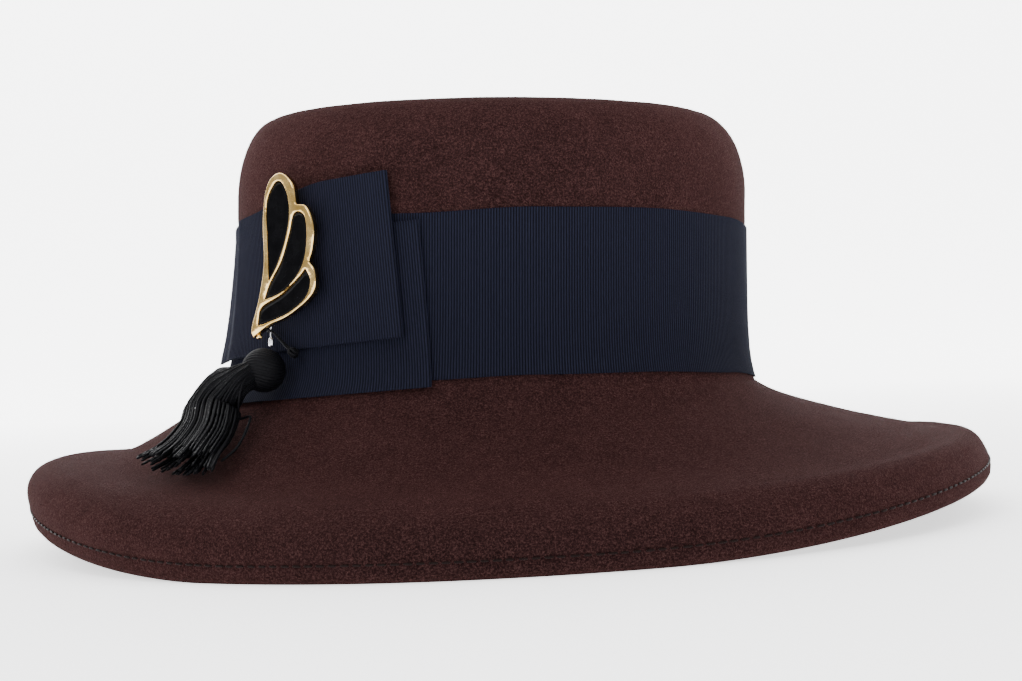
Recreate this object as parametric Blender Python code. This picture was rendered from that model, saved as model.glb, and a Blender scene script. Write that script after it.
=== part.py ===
# A lady's wide-brim felt hat with a ribbon band, a flat tailored bow, a brooch and a tassel.
# Metres, +Z up. The wearer's front is -X and the trimmed side is -Y.
# Every piece is modelled upright, round the crown's axis, and the whole hat is then tipped
# back by REST_TILT, so that the sides of its rim lie along the surface it rests on.

import math

import bmesh
import bpy
import numpy as np
from mathutils import Matrix, Vector, geometry

# Crown, blocked from one piece of felt with the brim
HEAD_LENGTH = 0.1979
HEAD_WIDTH = 0.164
FELT_WALL = 0.0025
FOOT_HEIGHT = 0.057
CROWN_RISE = 0.1032
DOME_RISE = 0.0015
CROWN_LEAN = 0.0011
SHOULDER_RISE = 0.030
SHOULDER_FRONT = 0.0150
SHOULDER_SIDE = 0.018
SHOULDER_BACK = 0.0172
FLARE_REACH = 0.004
FLARE_HEIGHT = 0.010

# Brim, from the crown's wall to the rim
BRIM_FRONT = 0.0795
BRIM_SIDE = 0.0715
BRIM_BACK = 0.0934
RIM_LIFT_FRONT = 0.0140
RIM_LIFT_BACK = 0.0133
REST_TILT = math.radians(2.86)
HEM_DEPTH = 0.007
RIM_PRESS = 0.0010

# Ribbon
RIBBON_WIDTH = 0.0587
RIBBON_THICKNESS = 0.0006
RIBBON_SAG = 0.0018
BAND_CENTRE = 0.0320
LAYER_GAP = 0.0004
UPPER_LOOP_START = 0.012
UPPER_LOOP_LENGTH = 0.1025
UPPER_LOOP_CENTRE = 0.0460
UPPER_LOOP_DROP = 0.0108
LOWER_LOOP_START = 0.040
LOWER_LOOP_LENGTH = 0.085
LOWER_LOOP_CENTRE = 0.0287
LOWER_LOOP_DROP = 0.0080

# Brooch and its pin
BROOCH_HEIGHT = 0.0592
BROOCH_WIDTH = 0.030
BROOCH_THICKNESS = 0.0025
BROOCH_BEVEL = 0.0005
BROOCH_ALONG = 0.074
BROOCH_CENTRE = 0.0461
BROOCH_TWIST = math.radians(4.0)
BROOCH_STANDOFF = 0.0035
ENAMEL_RECESS = 0.0004
ENAMEL_THICKNESS = 0.0009
PIN_DIAMETER = 0.0008
PIN_END_DIAMETER = 0.0020
PIN_END_LENGTH = 0.004
PIN_TOP = 0.040

# Tassel
TASSEL_ALONG = 0.070
TASSEL_HEAD_DIAMETER = 0.016
TASSEL_HEAD_RISE = 0.0049
TASSEL_KNOT_DIAMETER = 0.0044
TASSEL_KNOT_ASIDE = 0.0070
TASSEL_KNOT_RISE = 0.0062
SKIRT_LENGTH = 0.039
SKIRT_WIDTH = 0.033
SKIRT_THICKNESS = 0.0085
SKIRT_LOCKS = 9
CORD_DIAMETER = 0.0010

# Clearances and facets
CLEARANCE = 0.0003
SEGMENTS = 48

# Brim sections from the crown's foot (0) to the rim (1): reach as a share of the brim's
# width, drop as a share of the fall from the foot to the rim, at the front, side and back
BRIM_COLUMNS = ("front_reach", "front_drop", "side_reach", "side_drop", "back_reach", "back_drop")
BRIM_SECTIONS = (
    (0.00, 0.000, 0.00, 0.000, 0.00, 0.000),
    (0.07, 0.120, 0.07, 0.130, 0.07, 0.110),
    (0.15, 0.220, 0.15, 0.235, 0.16, 0.200),
    (0.27, 0.345, 0.27, 0.355, 0.30, 0.303),
    (0.40, 0.465, 0.40, 0.465, 0.45, 0.400),
    (0.52, 0.555, 0.52, 0.535, 0.60, 0.486),
    (0.65, 0.595, 0.65, 0.585, 0.74, 0.554),
    (0.78, 0.603, 0.78, 0.620, 0.83, 0.590),
    (0.88, 0.615, 0.88, 0.670, 0.90, 0.568),
    (0.962, 0.665, 0.96, 0.755, 0.945, 0.615),
    (1.00, 0.765, 1.00, 0.850, 0.980, 0.750),
    (0.988, 0.895, 1.01, 0.930, 1.00, 0.880),
    (0.967, 1.000, 1.00, 1.000, 1.00, 1.000),
)
# Where the rim leaves the surface, as the cosine of its bearing, and how fast it then rises
REST_END_FRONT = 0.45
REST_END_BACK = 0.20
LIFT_POWER = 2.5

# The band's height round the crown: bearing in degrees, and a share of RIBBON_SAG
BAND_WAVE = ((0, -1.0), (30, 0.5), (55, 1.0), (90, 0.4), (135, -0.6), (180, -1.0),
             (225, -0.9), (255, -0.6), (280, 0.6), (305, 1.0), (330, 0.5))

# Brooch outlines in shares of its width and height, from its tip at the lower left:
# the frame's edge, then the three enamelled cells, each a smooth closed curve between
# corners, which are marked 1
FRAME_OUTLINE = (
    (0.030, 0.000, 1), (0.000, 0.060, 0), (0.110, 0.230, 0), (0.195, 0.450, 0), (0.180, 0.720, 0),
    (0.250, 0.930, 0), (0.440, 1.000, 0), (0.640, 0.930, 0), (0.700, 0.806, 1), (0.860, 0.785, 0),
    (0.967, 0.670, 0), (0.950, 0.540, 0), (0.900, 0.455, 1), (0.985, 0.400, 0), (0.985, 0.290, 0),
    (0.860, 0.215, 0), (0.560, 0.125, 0), (0.280, 0.075, 0),
)
CELL_OUTLINES = (
    ((0.273, 0.345, 1), (0.262, 0.440, 0), (0.248, 0.620, 0), (0.235, 0.810, 0), (0.330, 0.915, 0),
     (0.446, 0.948, 0), (0.550, 0.880, 0), (0.592, 0.760, 0), (0.540, 0.610, 0), (0.413, 0.455, 0)),
    ((0.205, 0.232, 1), (0.295, 0.330, 0), (0.463, 0.455, 0), (0.588, 0.620, 0), (0.650, 0.730, 0),
     (0.744, 0.757, 0), (0.838, 0.720, 0), (0.862, 0.600, 0), (0.820, 0.470, 0), (0.700, 0.370, 0),
     (0.470, 0.278, 0)),
    ((0.095, 0.075, 1), (0.160, 0.180, 0), (0.480, 0.262, 0), (0.740, 0.360, 0), (0.850, 0.413, 1),
     (0.918, 0.340, 0), (0.840, 0.240, 0), (0.560, 0.148, 0), (0.250, 0.095, 0)),
)

BROWN = (0.075, 0.026, 0.020)
NAVY = (0.010, 0.014, 0.032)
BLACK = (0.006, 0.006, 0.008)
GOLD = (0.86, 0.62, 0.26)
STEEL = (0.62, 0.62, 0.64)

TWO_PI = 2.0 * math.pi
OVAL_LENGTH = HEAD_LENGTH / 2 + FELT_WALL
OVAL_WIDTH = HEAD_WIDTH / 2 + FELT_WALL
CROWN_TOP = FOOT_HEIGHT + CROWN_RISE
LOOP_THICKNESS = 2 * RIBBON_THICKNESS + LAYER_GAP
BAND_LIFT = CLEARANCE
LOWER_LOOP_LIFT = BAND_LIFT + RIBBON_THICKNESS + CLEARANCE
UPPER_LOOP_LIFT = LOWER_LOOP_LIFT + LOOP_THICKNESS + CLEARANCE
BOW_FACE_LIFT = UPPER_LOOP_LIFT + LOOP_THICKNESS


def clear_scene():
    for obj in list(bpy.data.objects):
        bpy.data.objects.remove(obj, do_unlink=True)


def make_material(name, colour, roughness, metallic=0.0):
    material = bpy.data.materials.new(name)
    material.use_nodes = True
    shader = material.node_tree.nodes["Principled BSDF"]
    shader.inputs["Base Color"].default_value = (*colour, 1.0)
    shader.inputs["Roughness"].default_value = roughness
    shader.inputs["Metallic"].default_value = metallic
    return material


def add_piece(name, points, faces, material, rest, sharp_degrees=40.0):
    """One closed solid, its faces turned outwards, hung on the empty that tips the hat back."""
    mesh = bpy.data.meshes.new(name)
    mesh.from_pydata([tuple(point) for point in points], [], faces)
    shell = bmesh.new()
    shell.from_mesh(mesh)
    bmesh.ops.recalc_face_normals(shell, faces=shell.faces)
    shell.to_mesh(mesh)
    shell.free()
    mesh.shade_smooth()
    mesh.set_sharp_from_angle(angle=math.radians(sharp_degrees))
    mesh.materials.append(material)
    piece = bpy.data.objects.new(name, mesh)
    bpy.context.collection.objects.link(piece)
    piece.parent = rest
    return piece


def smooth_curve(knots, steps):
    """Points along a Catmull-Rom curve through the knots."""
    knots = np.asarray(knots, float)
    count = len(knots)
    points = []
    for i in range(count - 1):
        start, end = knots[i], knots[i + 1]
        before = knots[i - 1] if i else 2 * start - end
        after = knots[i + 2] if i + 2 < count else 2 * end - start
        for t in np.arange(steps) / steps:
            points.append(0.5 * (2 * start + (end - before) * t
                                 + (2 * before - 5 * start + 4 * end - after) * t ** 2
                                 + (3 * start - before - 3 * end + after) * t ** 3))
    points.append(knots[-1])
    return np.array(points)


def smooth_step(value, start, end):
    share = min(1.0, max(0.0, (value - start) / (end - start)))
    return share * share * (3 - 2 * share)


def blend_round(bearing, front, side, back):
    """A size that goes smoothly from its front value through its side value to its back one."""
    cosine = math.cos(bearing)
    end = back if cosine > 0 else front
    return side + (end - side) * cosine ** 2


def oval_point(bearing, offset):
    """A plan point at a distance outside the crown's wall, square to it."""
    across = np.array([math.cos(bearing) / OVAL_LENGTH, math.sin(bearing) / OVAL_WIDTH])
    across /= np.linalg.norm(across)
    base = np.array([OVAL_LENGTH * math.cos(bearing), OVAL_WIDTH * math.sin(bearing)])
    return base + across * offset


def arc_table():
    """Bearings and the length of wall from the crown's front to each, towards the trimmed side."""
    bearings = np.linspace(math.pi, 3 * math.pi, 721)
    walls = np.array([oval_point(bearing, 0.0) for bearing in bearings])
    steps = np.linalg.norm(np.diff(walls, axis=0), axis=1)
    return bearings, np.concatenate([[0.0], np.cumsum(steps)])


ARC_BEARINGS, ARC_LENGTHS = arc_table()


def bearing_at(along):
    whole = ARC_LENGTHS[-1]
    return float(np.interp(along % whole, ARC_LENGTHS, ARC_BEARINGS))


def rim_height(bearing):
    """The rim's lowest point: on the resting plane along the sides, lifted at front and back."""
    cosine = math.cos(bearing)
    reach = blend_round(bearing, BRIM_FRONT, BRIM_SIDE, BRIM_BACK)
    plane = math.tan(REST_TILT) * oval_point(bearing, reach)[0]
    if cosine < -REST_END_FRONT:
        share = (-cosine - REST_END_FRONT) / (1 - REST_END_FRONT)
        return plane + RIM_LIFT_FRONT * share ** LIFT_POWER
    share = max(0.0, (cosine - REST_END_BACK) / (1 - REST_END_BACK))
    return plane + RIM_LIFT_BACK * share ** LIFT_POWER


def brim_curve(bearing):
    """The brim's upper face at one bearing, as offset and height, from foot to rim fold."""
    reach = blend_round(bearing, BRIM_FRONT, BRIM_SIDE, BRIM_BACK) - FLARE_REACH
    fold_height = rim_height(bearing) + FELT_WALL - RIM_PRESS
    knots = []
    for row in BRIM_SECTIONS:
        section = dict(zip(BRIM_COLUMNS, row))
        out, drop = (blend_round(bearing, *(section[f"{end}_{size}"] for end in ("front", "side", "back")))
                     for size in ("reach", "drop"))
        knots.append((FLARE_REACH + out * reach, FOOT_HEIGHT - drop * (FOOT_HEIGHT - fold_height)))
    return smooth_curve(knots, 6)


def resample(curve, distances):
    lengths = np.concatenate([[0.0], np.cumsum(np.linalg.norm(np.diff(curve, axis=0), axis=1))])
    wanted = [distance if distance >= 0 else lengths[-1] + distance for distance in distances(lengths[-1])]
    return np.array([[np.interp(d, lengths, curve[:, k]) for k in (0, 1)] for d in wanted])


def wall_offset(height):
    """How far the felt stands outside the crown's straight wall between foot and shoulder."""
    return FLARE_REACH * math.exp(-(height - FOOT_HEIGHT) / FLARE_HEIGHT)


SHOULDER_ANGLES = (90, 68, 46, 24, 0)
WALL_SHARES = (0.55,)
FLARE_SHARES = (3.0, 2.0, 1.2, 0.5)
BRIM_SHARES = (0.0, 0.11, 0.23, 0.37, 0.51, 0.63, 0.73, 0.81, 0.88, 0.94, 1.0)


def felt_section(bearing):
    """The felt's outer face at one bearing, from the crown's edge to the rim fold."""
    reach = blend_round(bearing, SHOULDER_FRONT, SHOULDER_SIDE, SHOULDER_BACK)
    rows = []
    top = CROWN_TOP + CROWN_LEAN * math.cos(bearing)
    for angle in map(math.radians, SHOULDER_ANGLES):
        height = top - SHOULDER_RISE * (1 - math.sin(angle))
        rows.append((wall_offset(height) - reach * (1 - math.cos(angle)), height))
    straight = CROWN_RISE - SHOULDER_RISE
    heights = [FOOT_HEIGHT + share * straight for share in WALL_SHARES]
    heights += [FOOT_HEIGHT + share * FLARE_HEIGHT for share in FLARE_SHARES]
    rows += [(wall_offset(height), height) for height in heights]
    brim = resample(brim_curve(bearing),
                    lambda whole: [share * (whole - HEM_DEPTH) for share in BRIM_SHARES]
                    + [whole - HEM_DEPTH / 2, whole])
    return np.vstack([rows, brim])


def section_normals(rows):
    tangents = np.gradient(rows, axis=0)
    normals = np.column_stack([-tangents[:, 1], tangents[:, 0]])
    return normals / np.linalg.norm(normals, axis=1)[:, None]


SECTION_BEARINGS = [TWO_PI * i / SEGMENTS for i in range(SEGMENTS + 1)]
SECTIONS = np.array([felt_section(bearing) for bearing in SECTION_BEARINGS])
WALL_ROWS = slice(0, len(SHOULDER_ANGLES) + len(WALL_SHARES) + len(FLARE_SHARES) + 6)


def section_between(bearing):
    """The faceted felt's section at any bearing."""
    place = (bearing % TWO_PI) / TWO_PI * SEGMENTS
    index = int(place)
    share = place - index
    return SECTIONS[index] * (1 - share) + SECTIONS[index + 1] * share


def felt_offset(bearing, height):
    """How far out the felt's face lies at a height on the crown or the brim's first slope."""
    rows = section_between(bearing)[WALL_ROWS][::-1]
    return float(np.interp(height, rows[:, 1], rows[:, 0]))


def on_hat(bearing, offset, height):
    x, y = oval_point(bearing, offset)
    return Vector((x, y, height))


def ring_faces(rings, count, closed_rings=False):
    """Quads between rings of count points, numbered ring by ring."""
    faces = []
    for ring in range(rings if closed_rings else rings - 1):
        for i in range(count):
            j = (i + 1) % count
            below = (ring + 1) % rings
            faces.append((ring * count + i, ring * count + j, below * count + j, below * count + i))
    return faces


DOME_SHARES = (0.68, 0.36)
FOLD_ANGLES = (35, 65, 90, 115, 145, 180)


def dome_point(edge, share, middle_height):
    """A point on the crown's slightly domed top, a share of the way out from its middle."""
    height = share * edge.z + (1 - share) * middle_height + DOME_RISE * (1 - share ** 2)
    return Vector((share * edge.x, share * edge.y, height))


def felt_rings():
    """Closed rings of points over the felt, from the dome's top round the rim to its inside."""
    outer_rows = len(SECTIONS[0])
    hem_row = outer_rows - 3
    rings = [[] for _ in range(2 * len(DOME_SHARES) + outer_rows + len(FOLD_ANGLES) + 1 + hem_row + 1)]
    slope = math.tan(REST_TILT)
    for bearing, rows in zip(SECTION_BEARINGS[:-1], SECTIONS):
        normals = section_normals(rows)
        points = [on_hat(bearing, *row) for row in rows]
        end, outwards = rows[-1], normals[-1]
        down = np.array([outwards[1], -outwards[0]])
        core = end - FELT_WALL * outwards
        for angle in map(math.radians, FOLD_ANGLES):
            offset, height = core + FELT_WALL * (math.cos(angle) * outwards + math.sin(angle) * down)
            points.append(on_hat(bearing, offset, height))
        hem = rows[hem_row] - 2 * FELT_WALL * normals[hem_row]
        points.append(on_hat(bearing, *hem))
        for row in range(hem_row, -1, -1):
            points.append(on_hat(bearing, *(rows[row] - FELT_WALL * normals[row])))
        for point in points:
            point.z = max(point.z, slope * point.x)
        upper = [dome_point(points[0], share, CROWN_TOP) for share in reversed(DOME_SHARES)]
        lower = [dome_point(points[-1], share, CROWN_TOP - FELT_WALL) for share in DOME_SHARES]
        for ring, point in zip(rings, upper + points + lower):
            ring.append(point)
    return rings


def make_felt_body(material, rest):
    rings = felt_rings()
    points = [point for ring in rings for point in ring]
    faces = ring_faces(len(rings), SEGMENTS)
    last = (len(rings) - 1) * SEGMENTS
    for height, start in ((CROWN_TOP, 0), (CROWN_TOP - FELT_WALL, last)):
        centre = len(points)
        points.append(Vector((0.0, 0.0, height + DOME_RISE)))
        faces += [(start + i, start + (i + 1) % SEGMENTS, centre) for i in range(SEGMENTS)]
    return add_piece("felt_body", points, faces, material, rest)


def band_height(bearing):
    """The band's middle: it lies a little higher at the back quarters than at the ends."""
    degrees = math.degrees(bearing) % 360
    for (start, low), (end, high) in zip(BAND_WAVE, BAND_WAVE[1:] + ((360, BAND_WAVE[0][1]),)):
        if start <= degrees <= end:
            share = low + (high - low) * smooth_step(degrees, start, end)
            return FOOT_HEIGHT + BAND_CENTRE + RIBBON_SAG * share
    return FOOT_HEIGHT + BAND_CENTRE


# Rows across a ribbon, as shares of its width, closer where the crown flares at its foot
RIBBON_ROWS = (-0.5, -0.42, -0.33, -0.22, -0.08, 0.15, 0.5)


def make_hat_band(material, rest):
    """A closed ring of ribbon, whose join is hidden under the bow."""
    rings = [[] for _ in range(2 * len(RIBBON_ROWS))]
    for bearing in SECTION_BEARINGS[:-1]:
        centre = band_height(bearing)
        for row, share in enumerate(RIBBON_ROWS):
            height = centre + share * RIBBON_WIDTH
            offset = felt_offset(bearing, height) + BAND_LIFT
            rings[row].append(on_hat(bearing, offset, height))
            rings[-1 - row].append(on_hat(bearing, offset + RIBBON_THICKNESS, height))
    points = [point for ring in rings for point in ring]
    return add_piece("hat_band", points, ring_faces(len(rings), SEGMENTS, True), material, rest)


def racetrack(length, radius, middle, straight_points, fold_points=4):
    """A flat loop seen from its edge: distance along the ribbon, and lift, round both folds."""
    runs = np.linspace(radius, length - radius, straight_points)
    turns = [math.pi * (i + 1) / (fold_points + 1) for i in range(fold_points)]
    path = [(x, middle - radius) for x in runs]
    path += [(length - radius + radius * math.sin(t), middle - radius * math.cos(t)) for t in turns]
    path += [(x, middle + radius) for x in reversed(runs)]
    path += [(radius - radius * math.sin(t), middle + radius * math.cos(t)) for t in turns]
    return path


LOOP_STRAIGHT_POINTS = 16


def make_loop(name, start, length, centre, drop, lift, material, rest):
    """A folded loop of ribbon round the crown: two layers joined by a fold at each end."""
    radius = LOOP_THICKNESS / 2
    outer = racetrack(length, radius, radius, LOOP_STRAIGHT_POINTS)
    hollow = racetrack(length - 2 * RIBBON_THICKNESS, radius - RIBBON_THICKNESS, radius, LOOP_STRAIGHT_POINTS)
    inner = [(x + RIBBON_THICKNESS, level) for x, level in hollow]
    tilt = math.atan2(drop, length)
    rings = []
    for path, shares in ((outer, RIBBON_ROWS), (inner, reversed(RIBBON_ROWS))):
        for share in shares:
            ring = []
            for x, level in path:
                along = start + x - share * RIBBON_WIDTH * math.sin(tilt)
                height = FOOT_HEIGHT + centre - drop * (1 - x / length) + share * RIBBON_WIDTH * math.cos(tilt)
                bearing = bearing_at(along)
                offset = felt_offset(bearing, height) + lift(along) + level
                ring.append(on_hat(bearing, offset, height))
            rings.append(ring)
    points = [point for ring in rings for point in ring]
    return add_piece(name, points, ring_faces(len(rings), len(outer), True), material, rest)


def upper_loop_lift(along):
    """The upper loop steps down onto the band where it runs past the lower loop's end."""
    slant = 0.5 * RIBBON_WIDTH * LOWER_LOOP_DROP / LOWER_LOOP_LENGTH
    end = LOWER_LOOP_START - slant - LOOP_THICKNESS - UPPER_LOOP_LENGTH / LOOP_STRAIGHT_POINTS / 2
    step = 4 * (UPPER_LOOP_LIFT - LOWER_LOOP_LIFT)
    return LOWER_LOOP_LIFT + (UPPER_LOOP_LIFT - LOWER_LOOP_LIFT) * smooth_step(along, end - step, end)


def brooch_frame_matrix():
    """The brooch's own axes: X to its right, Y up its height and Z out of its face, from the
    middle of its back."""
    bearing = bearing_at(BROOCH_ALONG)
    height = FOOT_HEIGHT + BROOCH_CENTRE
    offset = felt_offset(bearing, height) + BOW_FACE_LIFT + BROOCH_STANDOFF
    foot = on_hat(bearing, 0.0, 0.0)
    outwards = (on_hat(bearing, 1.0, 0.0) - foot).normalized()
    outwards = Matrix.Rotation(BROOCH_TWIST, 3, "Z") @ outwards
    up = Vector((0.0, 0.0, 1.0))
    right = up.cross(outwards)
    axes = Matrix((right, up, outwards)).transposed().to_4x4()
    return Matrix.Translation(on_hat(bearing, offset, height)) @ axes


def outline_points(outline, steps, inset=0.0):
    """A closed outline in metres from the brooch's middle, smooth between its corners."""
    knots = [((u - 0.5) * BROOCH_WIDTH, (v - 0.5) * BROOCH_HEIGHT) for u, v, _ in outline]
    corners = [i for i, knot in enumerate(outline) if knot[2]]
    points = []
    for corner, following in zip(corners, corners[1:] + [corners[0] + len(knots)]):
        run = [knots[i % len(knots)] for i in range(corner, following + 1)]
        points += list(smooth_curve(run, steps)[:-1])
    points = np.array(points)
    if inset:
        before, after = np.roll(points, 1, axis=0), np.roll(points, -1, axis=0)
        tangents = after - before
        tangents /= np.linalg.norm(tangents, axis=1)[:, None]
        sign = 1.0 if signed_area(points) > 0 else -1.0
        points = points + sign * inset * np.column_stack([-tangents[:, 1], tangents[:, 0]])
    return points


def signed_area(points):
    x, y = points[:, 0], points[:, 1]
    return 0.5 * float(np.sum(x * np.roll(y, -1) - np.roll(x, -1) * y))


def filled(loops):
    """Triangles that fill the first loop and leave out the others, by point number."""
    return geometry.tessellate_polygon([[Vector((x, y, 0.0)) for x, y in loop] for loop in loops])


def stack_walls(start_a, start_b, count):
    return [(start_a + i, start_a + (i + 1) % count, start_b + (i + 1) % count, start_b + i)
            for i in range(count)]


FRAME_STEPS = 3
CELL_STEPS = 2


def make_brooch_frame(material, rest):
    """A cast plate with a bevelled edge and three sunk cells, so that bars stand between them."""
    place = brooch_frame_matrix()
    outer = outline_points(FRAME_OUTLINE, FRAME_STEPS)
    edge = outline_points(FRAME_OUTLINE, FRAME_STEPS, BROOCH_BEVEL)
    cells = [outline_points(outline, CELL_STEPS) for outline in CELL_OUTLINES]
    floor = BROOCH_THICKNESS - ENAMEL_RECESS - ENAMEL_THICKNESS - CLEARANCE
    points, starts = [], {}

    def add_loop(name, loop, depth):
        starts[name] = len(points)
        points.extend(place @ Vector((x, y, depth)) for x, y in loop)

    add_loop("back", outer, 0.0)
    add_loop("shoulder", outer, BROOCH_THICKNESS - BROOCH_BEVEL)
    add_loop("face", edge, BROOCH_THICKNESS)
    for number, cell in enumerate(cells):
        add_loop(f"mouth{number}", cell, BROOCH_THICKNESS)
        add_loop(f"floor{number}", cell, floor)

    face_numbers = [starts["face"] + i for i in range(len(edge))]
    for number, cell in enumerate(cells):
        face_numbers += [starts[f"mouth{number}"] + i for i in range(len(cell))]
    faces = [tuple(face_numbers[i] for i in triangle) for triangle in filled([edge] + cells)]
    faces += [tuple(starts["back"] + i for i in triangle) for triangle in filled([outer])]
    faces += stack_walls(starts["back"], starts["shoulder"], len(outer))
    faces += stack_walls(starts["shoulder"], starts["face"], len(outer))
    for number, cell in enumerate(cells):
        faces += stack_walls(starts[f"mouth{number}"], starts[f"floor{number}"], len(cell))
        faces += [tuple(starts[f"floor{number}"] + i for i in triangle) for triangle in filled([cell])]
    return add_piece("brooch_frame", points, faces, material, rest)


def make_brooch_enamel(number, material, rest):
    """The glassy filling of one cell, just under the bars."""
    place = brooch_frame_matrix()
    loop = outline_points(CELL_OUTLINES[number], CELL_STEPS, CLEARANCE)
    top = BROOCH_THICKNESS - ENAMEL_RECESS
    points = [place @ Vector((x, y, depth)) for depth in (top - ENAMEL_THICKNESS, top) for x, y in loop]
    count = len(loop)
    flat = filled([loop])
    faces = [tuple(triangle) for triangle in flat] + [tuple(i + count for i in triangle) for triangle in flat]
    faces += stack_walls(0, count, count)
    return add_piece(f"brooch_enamel_{number + 1}", points, faces, material, rest)


PIN_ACROSS = -0.29
PIN_BOTTOM = -0.56
PIN_END_TAPER = 0.15
PIN_SIDES = 10


def pin_axis():
    """The pin's place behind the brooch: across, and out from the brooch's back."""
    return PIN_ACROSS * BROOCH_WIDTH, -(CLEARANCE + PIN_END_DIAMETER / 2)


def make_brooch_pin(material, rest):
    """A plain pin behind the brooch, whose thicker end shows under it."""
    place = brooch_frame_matrix()
    across, depth = pin_axis()
    top = PIN_TOP - BROOCH_HEIGHT / 2
    bottom = PIN_BOTTOM * BROOCH_HEIGHT
    thin, thick = PIN_DIAMETER / 2, PIN_END_DIAMETER / 2
    profile = ((top, thin), (bottom + PIN_END_LENGTH, thin), (bottom + (1 - PIN_END_TAPER) * PIN_END_LENGTH, thick),
               (bottom + PIN_END_TAPER * PIN_END_LENGTH, thick), (bottom, thin))
    points = []
    for height, radius in profile:
        for i in range(PIN_SIDES):
            angle = TWO_PI * i / PIN_SIDES
            x, z = across + radius * math.cos(angle), depth + radius * math.sin(angle)
            points.append(place @ Vector((x, height, z)))
    faces = ring_faces(len(profile), PIN_SIDES)
    faces.append(tuple(range(PIN_SIDES)))
    faces.append(tuple(len(points) - PIN_SIDES + i for i in range(PIN_SIDES)))
    return add_piece("brooch_pin", points, faces, material, rest)


BRIM_ROWS = slice(len(SHOULDER_ANGLES) + len(WALL_SHARES) + len(FLARE_SHARES), None)


def brim_place(bearing, start, distance, rise):
    """A point on the brim, a distance down its face from an offset, and a rise square to it."""
    rows = section_between(bearing)
    normals = section_normals(rows)[BRIM_ROWS]
    rows = rows[BRIM_ROWS]
    lengths = np.concatenate([[0.0], np.cumsum(np.linalg.norm(np.diff(rows, axis=0), axis=1))])
    place = np.interp(start, rows[:, 0], lengths) + distance
    offset, height, out, up = (float(np.interp(place, lengths, values))
                               for values in (rows[:, 0], rows[:, 1], normals[:, 0], normals[:, 1]))
    return on_hat(bearing, offset + rise * out, height + rise * up)


def tassel_places():
    """The bearing of the tassel, its head's offset, and the middles of its head and its knot."""
    bearing = bearing_at(TASSEL_ALONG)
    height = FOOT_HEIGHT + TASSEL_HEAD_RISE
    offset = felt_offset(bearing, height) + BOW_FACE_LIFT + CLEARANCE + TASSEL_HEAD_DIAMETER / 2
    aside = bearing_at(TASSEL_ALONG + TASSEL_KNOT_ASIDE)
    raised = height + TASSEL_KNOT_RISE
    seat = felt_offset(aside, raised) + BOW_FACE_LIFT + CLEARANCE + TASSEL_KNOT_DIAMETER / 2
    return bearing, offset, on_hat(bearing, offset, height), on_hat(aside, seat, raised)


LOCK_POINTS = 4
KNOT_ANGLES = (40, 90, 140)
HEAD_ANGLES = (22, 45, 68, 90, 112, 132)
# Skirt sections: way down the skirt and aside towards the hat's front, as shares of its
# length, width and thickness as shares, and how deep the locks cut
SKIRT_COLUMNS = ("way", "aside", "width", "thickness", "cut")
SKIRT_SECTIONS = (
    (0.03, 0.14, 0.42, 0.95, 0.10),
    (0.12, 0.37, 0.66, 1.15, 0.14),
    (0.26, 0.46, 0.73, 1.20, 0.16),
    (0.40, 0.44, 0.77, 1.20, 0.18),
    (0.60, 0.39, 0.84, 1.00, 0.20),
    (0.80, 0.34, 0.93, 0.82, 0.24),
    (1.00, 0.28, 0.97, 0.62, 0.30),
)
# How far down the skirt its sections still turn from square to the neck to square to the brim
SKIRT_TURN = 0.40
# How deep the skirt's end is hollowed, as a share of its last section's length
SKIRT_HOLLOW = 0.30
SKIRT_CLEARANCE = 2 * CLEARANCE


def ball_rings(centre, radius, angles, start_way, end_way, side):
    """Rings over a ball whose axis turns from one way to another; each is (middle, across, over)."""
    rings = []
    for angle in map(math.radians, angles):
        way = start_way.slerp(end_way, angle / math.pi)
        across = (side - way * side.dot(way)).normalized() * radius * math.sin(angle)
        over = across.cross(way)
        rings.append((centre - way * radius * math.cos(angle), across, over, 0.0))
    return rings


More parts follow.
